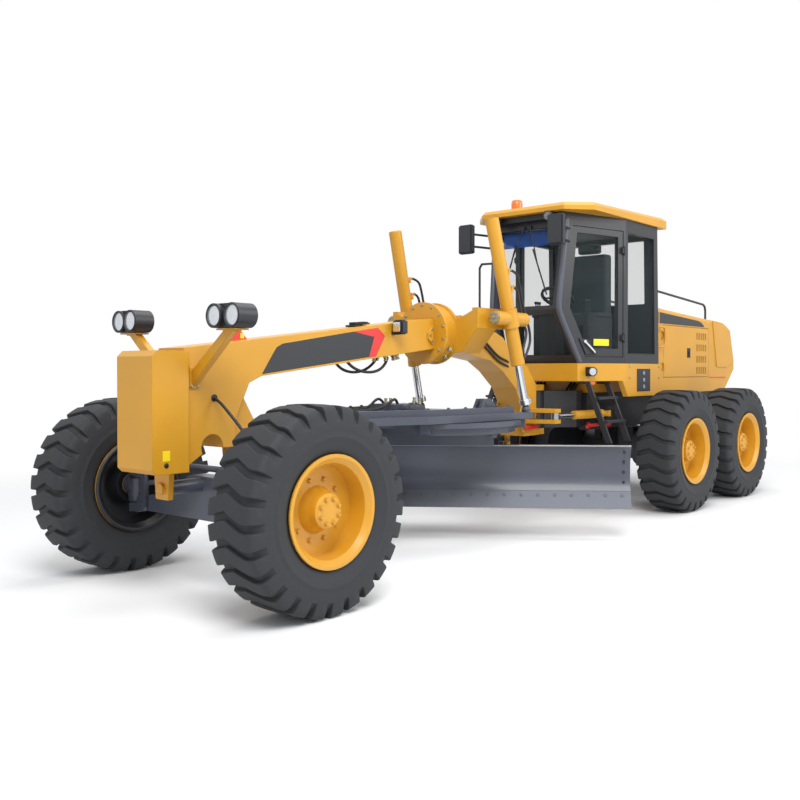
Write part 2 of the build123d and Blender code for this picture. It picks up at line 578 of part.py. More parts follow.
with BuildPart() as circle:
    bar((CIRCLE_X, 0, RING_FLANGE), (CIRCLE_X, 0, CIRCLE_TOP), CIRCLE_R, bore=RING_BORE)
    bar((CIRCLE_X, 0, RING_LOW), (CIRCLE_X, 0, RING_FLANGE), RING_BODY_R, bore=RING_BORE)
    gear_teeth(CIRCLE_X, TOOTH_COUNT, -BLADE_ANGLE, RING_BORE + 4, 20, PITCH_R - 18, 9, RING_LOW, RING_FLANGE)
    for side, hand in SIDES:
        side_plate([(CIRCLE_X + 470, RING_LOW), (CIRCLE_X + 470, 955), (CIRCLE_X - 290, 955),
                    (CIRCLE_X - 312, 720), (TIP_PIN[0] + 60, TIP_PIN[1] + 40), (TIP_PIN[0] + 60, TIP_PIN[1] - 40),
                    (TIP_PIN[0], TIP_PIN[1] - 65), (TIP_PIN[0] - 60, TIP_PIN[1] - 40),
                    (CIRCLE_X - 410, 720), (CIRCLE_X - 470, 900), (CIRCLE_X - 470, RING_LOW)],
                   *sorted(((ARM_Y - ARM_T / 2) * side, (ARM_Y + ARM_T / 2) * side)))
        bar((TIP_PIN[0], (ARM_Y - 30) * side, TIP_PIN[1]),
            (TIP_PIN[0], (BRACKET_IN + 55) * side, TIP_PIN[1]), 35)
    block((CIRCLE_X + 360, CIRCLE_X + 385), (-ARM_Y, ARM_Y), (880, RING_LOW))
    block((CIRCLE_X - 470, CIRCLE_X - 440), (-ARM_Y, ARM_Y), (830, RING_LOW))
    bar((CIRCLE_X - 430, ARM_Y, 880), (CIRCLE_X - 430, 700, 880), 24)
save_turned(circle, "circle")

with BuildPart() as pinion:
    bar((PINION_X, 0, RING_LOW + 7), (PINION_X, 0, RING_FLANGE - 5), PINION_R - 22)
    gear_teeth(PINION_X, PINION_TEETH, 180 / PINION_TEETH, PINION_R - 26, 20, PINION_R + 14, 8,
               RING_LOW + 7, RING_FLANGE - 5)
    bar((PINION_X, 0, RING_FLANGE - 6), (PINION_X, 0, DRAWBAR_LOW - GAP), 60)
save(pinion, "circle_pinion")

TIP_BASE = (CIRCLE_X - 430, 880)     # the tip cylinder's pin on the circle's left arm
TIP_EYE = (CIRCLE_X - 420, 500)      # its rod's eye beside the blade's bracket
BACK_U = CIRCLE_X - 75 - BLADE_T     # the deepest line of the moldboard's back
with BuildPart() as moldboard:
    with BuildSketch(Plane.XZ.offset(-BLADE_OFFSET + BLADE_LENGTH / 2)) as blade_section:
        low = BLADE_BOTTOM + EDGE_H
        top = BLADE_BOTTOM + BLADE_H
        middle = (low + top) / 2 - 20
        with BuildLine():
            ThreePointArc((sta(CIRCLE_X - 30), low), (sta(CIRCLE_X - 75), middle), (sta(CIRCLE_X + 20), top))
            Line((sta(CIRCLE_X + 20), top), (sta(CIRCLE_X + 20 - BLADE_T), top + 6))
            ThreePointArc((sta(CIRCLE_X + 20 - BLADE_T), top + 6), (sta(BACK_U), middle),
                          (sta(CIRCLE_X - 30 - BLADE_T), low - 10))
            Line((sta(CIRCLE_X - 30 - BLADE_T), low - 10), (sta(CIRCLE_X - 30), low))
        make_face()
    extrude(blade_section.sketch, amount=-BLADE_LENGTH)
    rail_y = (BLADE_OFFSET - BLADE_LENGTH / 2 + 150, BLADE_OFFSET + BLADE_LENGTH / 2 - 150)
    block((CIRCLE_X - 120, CIRCLE_X - 68), rail_y, (RAIL_LOW_Z - 20, RAIL_LOW_Z + 20))
    block((CIRCLE_X - 140, CIRCLE_X - 80), rail_y, (RAIL_HIGH_Z - 20, RAIL_HIGH_Z + 20))
    block((CIRCLE_X - 178, CIRCLE_X - 88), (-1130, -1100), (SHIFT_Z - 35, SHIFT_Z + 35))
save_turned(moldboard, "moldboard")

with BuildPart() as cutting_edge:
    side_plate([(CIRCLE_X + 60, BLADE_BOTTOM), (CIRCLE_X - 30, BLADE_BOTTOM + EDGE_H - 1),
                (CIRCLE_X - 30 - BLADE_T, BLADE_BOTTOM + EDGE_H - 11), (CIRCLE_X + 40, BLADE_BOTTOM)],
               BLADE_OFFSET - BLADE_LENGTH / 2, BLADE_OFFSET + BLADE_LENGTH / 2)
save_turned(cutting_edge, "cutting_edge")

with BuildPart() as blade_brackets:
    for side, hand in SIDES:
        plate_y = sorted((BRACKET_IN * side, (BRACKET_IN + 48) * side))
        jaw_y = sorted((BRACKET_IN * side, BRACKET_OUT * side))
        side_plate([(TIP_PIN[0] - 50, TIP_PIN[1] - 60), (CIRCLE_X - 180, 440), (CIRCLE_X - 180, 760),
                    (CIRCLE_X - 240, 760), (TIP_PIN[0] - 60, TIP_PIN[1] + 90), (TIP_EYE[0] - 30, TIP_EYE[1] + 35),
                    (TIP_EYE[0] - 38, TIP_EYE[1]), (TIP_EYE[0] - 30, TIP_EYE[1] - 30)], *plate_y)
        for rail_z, rail_back in ((RAIL_LOW_Z, 120), (RAIL_HIGH_Z, 140)):
            block((CIRCLE_X - 182, CIRCLE_X - rail_back - 1), jaw_y, (rail_z - 40, rail_z + 40))
            block((CIRCLE_X - 182, CIRCLE_X - rail_back + 22), jaw_y, (rail_z + 21, rail_z + 40))
            block((CIRCLE_X - 182, CIRCLE_X - rail_back + 22), jaw_y, (rail_z - 40, rail_z - 21))
    bar((CIRCLE_X - 142, BRACKET_IN + 40, SHIFT_Z), (CIRCLE_X - 142, -500, SHIFT_Z), 35)
    block((CIRCLE_X - 182, CIRCLE_X - 150), (BRACKET_IN, BRACKET_IN + 40), (SHIFT_Z - 30, SHIFT_Z + 30))
    bar((CIRCLE_X - 142, BRACKET_IN + 5, SHIFT_Z), (CIRCLE_X - 142, -501, SHIFT_Z), 20 + GAP, Mode.SUBTRACT)
    for side, hand in SIDES:
        bar((TIP_PIN[0], (BRACKET_IN - 1) * side, TIP_PIN[1]),
            (TIP_PIN[0], (BRACKET_IN + 56) * side, TIP_PIN[1]), 35 + GAP, Mode.SUBTRACT)
save_turned(blade_brackets, "blade_carrier")

with BuildPart() as shift_rod:
    bar((CIRCLE_X - 142, 0, SHIFT_Z), (CIRCLE_X - 142, -1100 + GAP, SHIFT_Z), 20)
save_turned(shift_rod, "side_shift_rod")

tip_run = Vector(TIP_EYE[0] - TIP_BASE[0], 0, TIP_EYE[1] - TIP_BASE[1])
tip_unit = tip_run.normalized()


def tip_point(distance):
    """A point of the tip cylinder's axis, at a distance from the barrel's pin."""
    return (TIP_BASE[0] + tip_unit.X * distance, 668, TIP_BASE[1] + tip_unit.Z * distance)


with BuildPart() as tip_barrel:
    bar(tip_point(0), tip_point(tip_run.length - 70), 32)
    bar((TIP_BASE[0], 643, TIP_BASE[1]), (TIP_BASE[0], 693, TIP_BASE[1]), 42)
    bar((TIP_BASE[0], 635, TIP_BASE[1]), (TIP_BASE[0], 701, TIP_BASE[1]), 24 + GAP, Mode.SUBTRACT)
    bar(tip_point(40), tip_point(tip_run.length), 18 + GAP, Mode.SUBTRACT)
save_turned(tip_barrel, "tip_barrel")

with BuildPart() as tip_rod:
    bar(tip_point(90), tip_point(tip_run.length), 18)
    bar((TIP_EYE[0], 645, TIP_EYE[1]), (TIP_EYE[0], 691, TIP_EYE[1]), 28)
save_turned(tip_rod, "tip_rod")

# ---------------------------------------------------------------- rear frame
FRAME_NOSE_X = HINGE_X - 60
DECK_Z = 1310
RAIL_BACK = REAR_END + 300
with BuildPart() as rear_frame:
    for side, hand in SIDES:
        side_plate([(-4590, RAIL_LOW), (-4590, RAIL_HIGH), (RAIL_BACK, RAIL_HIGH), (RAIL_BACK, 980),
                    (-7600, 980), (-7300, RAIL_LOW)],
                   *sorted(((RAIL_Y - RAIL_W / 2) * side, (RAIL_Y + RAIL_W / 2) * side)))
    level_plate([(FRAME_NOSE_X, -90), (FRAME_NOSE_X, 90), (-4470, 320), (-4600, 320), (-4600, -320),
                 (-4470, -320)], HINGE_LOW + EAR_T + 5, HINGE_HIGH - EAR_T - 5)
    bar((HINGE_X, 0, HINGE_LOW + EAR_T + 2), (HINGE_X, 0, HINGE_HIGH - EAR_T - 2), 100)
    bar((HINGE_X, 0, HINGE_LOW + 2), (HINGE_X, 0, HINGE_HIGH - 2), HINGE_PIN_R)
    for x in (-5300, -7900):
        block((x - 60, x + 60), (-RAIL_Y, RAIL_Y), (1000, 1200))
    for side, hand in SIDES:
        block((TANDEM_X - 150, TANDEM_X + 150), sorted((RAIL_Y * side - 45, RAIL_Y * side + 45)),
              (TYRE_R, RAIL_LOW + 1))
        base = (HINGE_X + ART_BASE[0], ART_BASE[1] * side)
        for low in (ART_Z - 75, ART_Z + 35):
            level_plate([(base[0] + 60, 370 * side), (base[0] - 120, 370 * side),
                         (base[0] - 60, (ART_BASE[1] + 50) * side), (base[0] + 50, (ART_BASE[1] + 50) * side)],
                        low, low + 40)
        bar((base[0], base[1], ART_Z - 75), (base[0], base[1], ART_Z + 75), ART_PIN_R)
    bar((TANDEM_X, -600, TYRE_R), (TANDEM_X, 600, TYRE_R), 150, Mode.SUBTRACT)
    block((REAR_END, RAIL_BACK), (-450, 450), (980, 1250))
save(rear_frame, "rear_frame")

with BuildPart() as tandem_axle:
    case_in = TANDEM_CASE_Y - TANDEM_CASE_W / 2
    case_out = TANDEM_CASE_Y + TANDEM_CASE_W / 2
    bar((TANDEM_X, -case_in - 1, TYRE_R), (TANDEM_X, case_in + 1, TYRE_R), 150)
    with BuildSketch(Plane.XY.offset(TYRE_R)) as housing:
        with Locations((sta(TANDEM_X), 0)):
            RegularPolygon(230, 8)
    extrude(housing.sketch, amount=190, both=True)
    for side, hand in SIDES:
        ends = [TANDEM_X + TANDEM_SPACING / 2, TANDEM_X - TANDEM_SPACING / 2]
        with BuildSketch(Plane.XZ.offset(-case_in * side)) as case_view:
            with Locations(*[(sta(x), TYRE_R) for x in ends]):
                Circle(TANDEM_CASE_R)
            with Locations((sta(TANDEM_X), TYRE_R)):
                Rectangle(TANDEM_SPACING, 2 * TANDEM_CASE_R)
        extrude(case_view.sketch, amount=-TANDEM_CASE_W * side)
        for x in ends:
            bar((x, (case_out - 5) * side, TYRE_R),
                (x, (REAR_TRACK / 2 + HUB_POCKET_END - 5) * side, TYRE_R), AXLE_R)
            bar((x, (case_out - 5) * side, TYRE_R), (x, (REAR_TRACK / 2 + REAR_HUB_IN - 20) * side, TYRE_R), 120)
save(tandem_axle, "tandem_axle")

with BuildPart() as engine_block:
    block((-7150, -6100), (-280, 280), (DECK_Z, 2000))
save(engine_block, "engine_block")


def articulation_point(side, distance):
    """A point of an articulation cylinder's axis, from the barrel's pin."""
    base = Vector(HINGE_X + ART_BASE[0], ART_BASE[1], ART_Z)
    eye = Vector(HINGE_X + ART_EYE[0], ART_EYE[1], ART_Z)
    point = base + (eye - base).normalized() * distance
    return (point.X, point.Y * side, point.Z)


art_length = math.hypot(ART_EYE[0] - ART_BASE[0], ART_EYE[1] - ART_BASE[1])
for side, hand in SIDES:
    base_pin = articulation_point(side, 0)
    eye_pin = articulation_point(side, art_length)
    with BuildPart() as barrel:
        bar(base_pin, articulation_point(side, 91), 30)
        bar(articulation_point(side, 90), articulation_point(side, art_length - 330), 45)
        bar((base_pin[0], base_pin[1], ART_Z - 33), (base_pin[0], base_pin[1], ART_Z + 33), 50)
        bar((base_pin[0], base_pin[1], ART_Z - 34), (base_pin[0], base_pin[1], ART_Z + 34), ART_PIN_R + GAP,
            Mode.SUBTRACT)
        bar(articulation_point(side, 60), articulation_point(side, art_length), 24 + GAP, Mode.SUBTRACT)
    save(barrel, f"articulation_barrel_{hand}")
    with BuildPart() as rod:
        bar(articulation_point(side, 340), eye_pin, 24)
        bar((eye_pin[0], eye_pin[1], ART_Z - 33), (eye_pin[0], eye_pin[1], ART_Z + 33), 46)
    save(rod, f"articulation_rod_{hand}")

# ---------------------------------------------------------------- hood, its outer shape
HOOD_SIDE = [(HOOD_FRONT, DECK_Z), (HOOD_FRONT, 2298), (-7215, 2218), (-7834, 2193), (-8112, 2082),
             (-8241, 1674), (-8241, 1560), (HOOD_BACK, DECK_Z)]
HOOD_T = 40
HOOD_SOLID_X = -7740        # behind this the hood is one body with its cooler
HOOD_DOOR_X = (-7394, -6072)
HOOD_DOOR_Z = (1457, 2085)
VENTS = (1540, 1682, 1828, 1972)    # middles of the door's rows of slots
COVER = [(-7511, 2192), (-7834, 2170), (-8080, 2080), (-8215, 1674), (-7979, 1581), (-7642, 1590)]


def hood_outer():
    """The hood's outer shape, with its top edges rounded."""
    with BuildPart() as outer:
        side_plate(HOOD_SIDE, -HOOD_HALF_W, HOOD_HALF_W)
        fillet(outer.edges().filter_by(lambda e: abs(e.center().Z - 2240) < 60 and abs(e.center().Y) > 540), 50)
    return outer.part


# ---------------------------------------------------------------- cab
CAB_TOP = 3100
CAB_LOW = 1427
PILLAR_FOOT = (-4225, CAB_FLOOR)
PILLAR_KINK = (-3942, 2164)
PILLAR_HEAD = (-4059, CAB_TOP)
CAB_BACK_TOP = -5598
B_PILLAR = -4854
PLAN_SLOPE = 0.302          # how the sides draw in towards the front
SEAM = 5
GLASS_IN = 22               # from the cab's skin to its glass
DOORWAY = [(-4295, 1680), (-4022, 2170), (-4130, 3030), (B_PILLAR + 35, 3030), (B_PILLAR + 35, 1680)]
DOOR_WINDOW = [(-4315, 1770), (-4095, 2185), (-4190, 2960), (B_PILLAR + 105, 2960), (B_PILLAR + 105, 1770)]
SIDE_WINDOW = [(B_PILLAR - 45, 1720), (B_PILLAR - 45, 3020), (-5510, 3020), (-5540, 1720)]
FRONT_WINDOWS = [[(-430, 1700), (430, 1700), (350, 2115), (-350, 2115)],
                 [(-350, 2205), (350, 2205), (385, 3020), (-385, 3020)]]
BACK_WINDOW = [(-560, 2300), (560, 2300), (560, 3020), (-560, 3020)]


def cab_plan(inset):
    """Plan of the cab's walls as (station, Y) points, drawn in towards the front."""
    half = CAB_HALF_W - inset
    front_half = half - PLAN_SLOPE * (-3800 - B_PILLAR)
    return [(-3800, -front_half), (B_PILLAR, -half), (-5800, -half), (-5800, half), (B_PILLAR, half),
            (-3800, front_half)]


def cab_side(inset, floor, ceiling):
    """Side view of the cab's walls as (station, Z) points."""
    return [(PILLAR_FOOT[0] - 1.15 * inset, CAB_FLOOR + floor), (PILLAR_KINK[0] - inset, PILLAR_KINK[1]),
            (PILLAR_HEAD[0] - inset, CAB_TOP - ceiling), (CAB_BACK_TOP + inset, CAB_TOP - ceiling),
            (CAB_REAR + inset, CAB_FLOOR + floor)]


def cab_shape(inset, floor=36, ceiling=20):
    """The cab's outer shape drawn in by an inset."""
    with BuildPart() as shape:
        level_plate(cab_plan(inset), CAB_FLOOR + floor, CAB_TOP - ceiling)
        side_plate(cab_side(inset, floor, ceiling), -CAB_HALF_W - 1, CAB_HALF_W + 1, Mode.INTERSECT)
    return shape.part


def cab_openings(mode, doorways):
    """The cab's window holes, and its doorways if asked."""
    for outline in [SIDE_WINDOW] + ([DOORWAY] if doorways else []):
        side_plate(outline, -CAB_HALF_W - 5, CAB_HALF_W + 5, mode)
    for outline in FRONT_WINDOWS:
        cross_plate(outline, -4400, -3700, mode)
    cross_plate(BACK_WINDOW, CAB_REAR - 50, CAB_REAR + 150, mode)


HINGE_TUBE_R = 10
HINGE_TUBE_H = 60
CAB_HINGE = (B_PILLAR + 37, 704, 1)     # station and Y of a door's hinge, and which way its leaf runs
CAB_HINGE_Z = (1860, 2790)
HOOD_HINGE = (-6065, 562, -1)
HOOD_HINGE_Z = (1560, 1930)


def hinge_leaves(hinge, side, start, skin, heights):
    """A door's hinge tubes, on leaves that stand off its skin."""
    x, y, toward = hinge
    for z in heights:
        top = z + HINGE_TUBE_H
        bar((x, y * side, z), (x, y * side, top), HINGE_TUBE_R)
        block(sorted((x, x + 40 * toward)), sorted(((y - 11) * side, y * side)), (z, top))
        block(sorted((x + start * toward, x + 40 * toward)), sorted((skin * side, (y - 5) * side)), (z, top))
    for z in heights:
        bar((x, y * side, z - 1), (x, y * side, z + HINGE_TUBE_H + 1), 6 + GAP, Mode.SUBTRACT)


def hinge_pins(hinge, side, skin, heights):
    """The fixed lugs and pins that a door's hinge tubes turn on."""
    x, y, toward = hinge
    for z in heights:
        for low in (z - 14, z + HINGE_TUBE_H + 0.5):
            block(sorted((x + 8 * toward, x - 34 * toward)), sorted(((y - 11) * side, (y + 7) * side)),
                  (low, low + 13.5))
            block(sorted((x - 8 * toward, x - 34 * toward)), sorted((skin * side, y * side)), (low, low + 13.5))
        bar((x, y * side, z - 13), (x, y * side, z + HINGE_TUBE_H + 13), 6)


with BuildPart() as cab_frame:
    add(cab_shape(0, 0, 0))
    add(cab_shape(CAB_T), mode=Mode.SUBTRACT)
    cab_openings(Mode.SUBTRACT, True)
    level_plate([(-3985, -440), (B_PILLAR, -CAB_HALF_W), (CAB_BACK_TOP, -CAB_HALF_W), (CAB_BACK_TOP, CAB_HALF_W),
                 (B_PILLAR, CAB_HALF_W), (-3985, 440)], CAB_TOP, ROOF_LOW)
    for side, hand in SIDES:
        hinge_pins(CAB_HINGE, side, 690, CAB_HINGE_Z)
save(cab_frame, "cab_frame")

with BuildPart() as cab_glass:
    cab_openings(Mode.ADD, False)
    add(cab_shape(GLASS_IN), mode=Mode.INTERSECT)
    add(cab_shape(GLASS_IN + GLASS_T), mode=Mode.SUBTRACT)
save(cab_glass, "cab_glass")


def door_outline(shrink):
    """The doorway drawn in by a seam."""
    with BuildSketch(Plane.XZ) as outline:
        with BuildLine():
            Polyline(*[(sta(x), z) for x, z in DOORWAY], close=True)
        make_face()
        offset(amount=-shrink)
    return outline.sketch


for side, hand in SIDES:
    door_y = sorted((100 * side, (CAB_HALF_W + 10) * side))
    with BuildPart() as door:
        extrude(door_outline(SEAM), amount=-side * (CAB_HALF_W + 10))
        add(cab_shape(SEAM), mode=Mode.INTERSECT)
        add(cab_shape(CAB_T - 12), mode=Mode.SUBTRACT)
        side_plate(DOOR_WINDOW, *door_y, Mode.SUBTRACT)
        hinge_leaves(CAB_HINGE, side, 7, 672, CAB_HINGE_Z)
    save(door, f"cab_door_{hand}")
    with BuildPart() as door_glass:
        side_plate(DOOR_WINDOW, *door_y)
        add(cab_shape(GLASS_IN), mode=Mode.INTERSECT)
        add(cab_shape(GLASS_IN + GLASS_T), mode=Mode.SUBTRACT)
    save(door_glass, f"door_glass_{hand}")

with BuildPart() as cab_roof:
    level_plate([(-3900, -510), (-4150, -730), (-5764, -730), (-5764, 730), (-4150, 730), (-3900, 510)],
                ROOF_LOW, CAB_ROOF + 48)
    side_plate([(-3800, CAB_ROOF), (-3800, CAB_ROOF + 60), (-5800, CAB_ROOF + 60), (-5764, CAB_ROOF + 48)],
               -800, 800, Mode.SUBTRACT)
    chamfer(cab_roof.faces().sort_by(Axis.Z)[-1].edges(), 35)
save(cab_roof, "cab_roof")

BASE_HALF_W = CAB_HALF_W + 8
with BuildPart() as cab_base:
    level_plate([(-4190, -500), (B_PILLAR, -BASE_HALF_W), (CAB_REAR - 20, -BASE_HALF_W),
                 (CAB_REAR - 20, BASE_HALF_W), (B_PILLAR, BASE_HALF_W), (-4190, 500)],
                CAB_LOW, CAB_FLOOR)
    block((-5600, -4610), (-RAIL_Y - 45, RAIL_Y + 45), (RAIL_HIGH, CAB_LOW + 1))
    for side, hand in SIDES:
        side_plate([(-4771, CAB_LOW + 1), (-4892, SKIRT_LOW), (CAB_REAR - 20, SKIRT_LOW),
                    (CAB_REAR - 20, CAB_LOW + 1)],
                   *sorted(((BASE_HALF_W - 60) * side, BASE_HALF_W * side)))
save(cab_base, "cab_base")

INSIDE_Z = CAB_FLOOR + 36
with BuildPart() as cab_interior:
    block((-5400, -4320), (-360, 360), (INSIDE_Z, INSIDE_Z + 25))
    for side, hand in SIDES:
        block((-5180, -4660), sorted((285 * side, 355 * side)), (INSIDE_Z + 24, 2140))
        block((-5150, -4640), sorted((275 * side, 365 * side)), (2135, 2172))
        for lever in range(3):
            foot = -4760 + 40 * lever
            bar((foot, 320 * side, 2160), (foot + 30, 320 * side, 2300), 7)
            with Locations(at((foot + 30, 320 * side, 2300))):
                Sphere(17)
    block((-5200, -4900), (-180, 180), (INSIDE_Z + 24, 2030))
    block((-5300, -4800), (-260, 260), (2020, 2160))
    block((-5330, -5210), (-250, 250), (2100, 2850))
    block((-4560, -4400), (-110, 110), (INSIDE_Z + 24, 2150))
    bar((-4480, 0, 2140), (-4600, 0, 2340), 30)
    bar((-4594, 0, 2330), (-4609, 0, 2355), 190, bore=165)
    bar((-4602, -170, 2342), (-4602, 170, 2342), 10)
save(cab_interior, "cab_interior")

LADDER_X = (-4250, -4650)
RAIL_TOP_Y = 480            # the hand rails along the hood
with BuildPart() as ladders:
    for side, hand in SIDES:
        for x in LADDER_X:
            rail = [(470, 1395), (470, CAB_LOW), (610, CAB_LOW), (870, 800), (800, 800), (565, 1395)]
            cross_plate([(y * side, z) for y, z in rail], x - 12, x + 12)
        for step_y, step_z in ((655, 1240), (745, 1000)):
            block((LADDER_X[1], LADDER_X[0]), sorted((step_y * side, (step_y + 70) * side)),
                  (step_z, step_z + 25))
        top_rail = [(-5800, 2250), (-5800, 2470), (-5830, 2500), (-7380, 2400), (-7430, 2375), (-7449, 2330),
                    (-7449, 2175)]
        for start, end in zip(top_rail, top_rail[1:]):
            bar((start[0], RAIL_TOP_Y * side, start[1]), (end[0], RAIL_TOP_Y * side, end[1]), 14)
            with Locations(at((end[0], RAIL_TOP_Y * side, end[1]))):
                Sphere(14)
        block((-4365, -4295), sorted((500 * side, 590 * side)), (1480, 1575))
        bar((-4330, 575 * side, 1528), (-4300, 618 * side, 1528), 48)
    grab = [(-3985, -425, 2195), (-3960, -560, 2195), (-3960, -590, 2230), (-3960, -590, 2650), (-3960, -560, 2690),
            (-3985, -425, 2690)]
    for start, end in zip(grab, grab[1:]):
        bar(start, end, 12)
        with Locations(at(end)):
            Sphere(12)
    add(cab_shape(0, 0, 0), mode=Mode.SUBTRACT)
    add(cab_base.part, mode=Mode.SUBTRACT)
    add(hood_outer(), mode=Mode.SUBTRACT)
save(ladders, "ladders")

with BuildPart() as mirrors:
    for side, hand in SIDES:
        for z in (2860, 2990):
            bar((-4110, 455 * side, z), (-3700, 557 * side, z), 12)
        block((-3720, -3660), sorted((475 * side, 640 * side)), (2780, 3070))
        bar((-3985, 330 * side, 3128), (-3925, 330 * side, 3128), 30)
        bar((-3926, 330 * side, 3112), (-3880, 330 * side, 3112), 48)
    add(cab_shape(0, 0, 0), mode=Mode.SUBTRACT)
save(mirrors, "mirrors")

with BuildPart() as beacon:
    bar((-4250, -300, CAB_ROOF - 10), (-4250, -300, CAB_ROOF + 40), 70)
    bar((-4250, -300, CAB_ROOF + 30), (-4250, -300, CAB_ROOF + 150), 55)
    add(cab_roof.part, mode=Mode.SUBTRACT)
    for side, hand in SIDES:
        level_plate([(-4275, 522 * side), (-4430, 570 * side), (-4430, 545 * side), (-4275, 497 * side)],
                    CAB_LOW - 36, CAB_LOW)
save(beacon, "beacon")

# ---------------------------------------------------------------- hood
with BuildPart() as hood:
    add(hood_outer())
    deck_y = HOOD_HALF_W - SKIRT_T
    block((HOOD_BACK, HOOD_FRONT), (-deck_y, deck_y), (RAIL_HIGH, DECK_Z + 1))
    block((HOOD_SOLID_X + HOOD_T, HOOD_FRONT - HOOD_T), (-HOOD_HALF_W + HOOD_T, HOOD_HALF_W - HOOD_T),
          (DECK_Z, 2150), Mode.SUBTRACT)
    block(HOOD_DOOR_X, (-HOOD_HALF_W - 5, HOOD_HALF_W + 5), HOOD_DOOR_Z, Mode.SUBTRACT)
    for side, hand in SIDES:
        hinge_pins(HOOD_HINGE, side, HOOD_HALF_W - 2, HOOD_HINGE_Z)
        side_plate(COVER, *sorted(((HOOD_HALF_W - 2) * side, (HOOD_HALF_W + 12) * side)))
        side_plate([(HOOD_FRONT, SKIRT_LOW), (HOOD_FRONT, DECK_Z + 1), (HOOD_BACK, DECK_Z + 1),
                    (HOOD_BACK, SKIRT_LOW + 20)],
                   *sorted(((HOOD_HALF_W - SKIRT_T) * side, HOOD_HALF_W * side)))
    grille_back = HOOD_BACK - 200
    block((-8400, grille_back), (-430, 430), (1720, 2010), Mode.SUBTRACT)
    for z in range(1735, 2000, 45):
        block((grille_back - 26, grille_back + 1), (-431, 431), (z, z + 12))
save(hood, "hood")

for side, hand in SIDES:
    with BuildPart() as hood_door:
        block((HOOD_DOOR_X[0] + SEAM, HOOD_DOOR_X[1] - SEAM),
              sorted(((HOOD_HALF_W - 35) * side, HOOD_HALF_W * side)),
              (HOOD_DOOR_Z[0] + SEAM, HOOD_DOOR_Z[1] - SEAM))
        for z in VENTS:
            for slot in range(5):
                slot_x = -7310 + 64 * slot
                block((slot_x, slot_x + 34), sorted(((HOOD_HALF_W - 36) * side, (HOOD_HALF_W + 1) * side)),
                      (z - 42, z + 42), Mode.SUBTRACT)
        hinge_leaves(HOOD_HINGE, side, 14, HOOD_HALF_W - 2, HOOD_HINGE_Z)
    save(hood_door, f"hood_door_{hand}")

# ---------------------------------------------------------------- lamps and lug on the front frame
LAMP_Z = LAMP_LOW + 12 + LAMP_R
with BuildPart() as headlights:
    for side, hand in SIDES:
        for lamp_y, front in ((LAMP_Y - 82, POST_X + 75), (LAMP_Y + 88, POST_X + 62)):
            bar((front - 150, lamp_y * side, LAMP_Z), (front, lamp_y * side, LAMP_Z), LAMP_R)
            bar((front - 22, lamp_y * side, LAMP_Z), (front + 1, lamp_y * side, LAMP_Z), LAMP_R - 9,
                Mode.SUBTRACT)
        block((POST_X - 85, POST_X + 45), sorted(((LAMP_Y - 82) * side, (LAMP_Y + 88) * side)),
              (LAMP_Z - LAMP_R + 1, LAMP_Z + LAMP_R - 1))
        block((POST_X - 45, POST_X + 15), sorted(((LAMP_Y - 40) * side, (LAMP_Y + 40) * side)),
              (LAMP_LOW + 10, LAMP_LOW + 16))
        block((-1800, -1750), sorted((BEAM_HALF_W * side, (BEAM_HALF_W + 40) * side)), (1840, 1870))
        block((-1815, -1745), sorted(((BEAM_HALF_W + 25) * side, (BEAM_HALF_W + 125) * side)), (1850, 1955))
save(headlights, "headlights")

with BuildPart() as lift_lug:
    side_plate([(-120, beam_top(-120)), (-180, beam_top(-180) + 110), (-240, beam_top(-240) + 110),
                (-330, beam_top(-330))], -20, 20)
    bar((-215, -21, beam_top(-215) + 60), (-215, 21, beam_top(-215) + 60), 25, Mode.SUBTRACT)
save(lift_lug, "lift_lug")
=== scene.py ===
import json
import math

import bmesh
import bpy
from mathutils import Matrix, Vector


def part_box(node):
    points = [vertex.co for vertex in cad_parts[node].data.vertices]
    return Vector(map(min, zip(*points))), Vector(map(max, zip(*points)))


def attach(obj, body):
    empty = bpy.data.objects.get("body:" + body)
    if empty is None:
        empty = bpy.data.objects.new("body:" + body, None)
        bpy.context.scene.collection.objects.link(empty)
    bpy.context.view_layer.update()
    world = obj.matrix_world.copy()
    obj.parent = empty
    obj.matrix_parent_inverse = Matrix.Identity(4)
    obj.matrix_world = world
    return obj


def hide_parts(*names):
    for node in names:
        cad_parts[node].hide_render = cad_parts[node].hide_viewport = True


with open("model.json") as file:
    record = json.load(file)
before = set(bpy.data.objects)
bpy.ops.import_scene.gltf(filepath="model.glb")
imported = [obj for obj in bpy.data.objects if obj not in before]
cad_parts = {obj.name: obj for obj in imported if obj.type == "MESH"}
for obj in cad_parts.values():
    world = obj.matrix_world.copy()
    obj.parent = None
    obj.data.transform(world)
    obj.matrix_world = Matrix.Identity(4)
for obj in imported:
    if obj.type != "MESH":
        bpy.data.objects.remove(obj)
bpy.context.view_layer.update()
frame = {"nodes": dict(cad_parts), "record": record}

SIDES = ((1, "left"), (-1, "right"))
WHEELS = [f"{place}_{hand}" for place in ("front", "middle", "rear") for hand in ("left", "right")]


def middle(node):
    low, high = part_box(node)
    return (low + high) / 2


AXLE_X = middle("wheel_front_left").x


def at(station, y, z):
    """A point in metres: its station along X from the front axle, forward positive; Y to the left; Z up."""
    return Vector((AXLE_X + station, y, z))


def step(x, y=0.0, z=0.0):
    """A step in metres along X, Y and Z, from some point."""
    return Vector((x, y, z))


# ---------------------------------------------------------------- materials
def colour(red, green, blue):
    """An sRGB colour from 0 to 255, made linear."""
    def linear(value):
        value /= 255
        return value / 12.92 if value <= 0.04045 else ((value + 0.055) / 1.055) ** 2.4
    return (linear(red), linear(green), linear(blue), 1.0)


def lit(base, factor):
    """A colour made brighter or darker."""
    return [min(1, channel * factor) for channel in base[:3]] + [1]


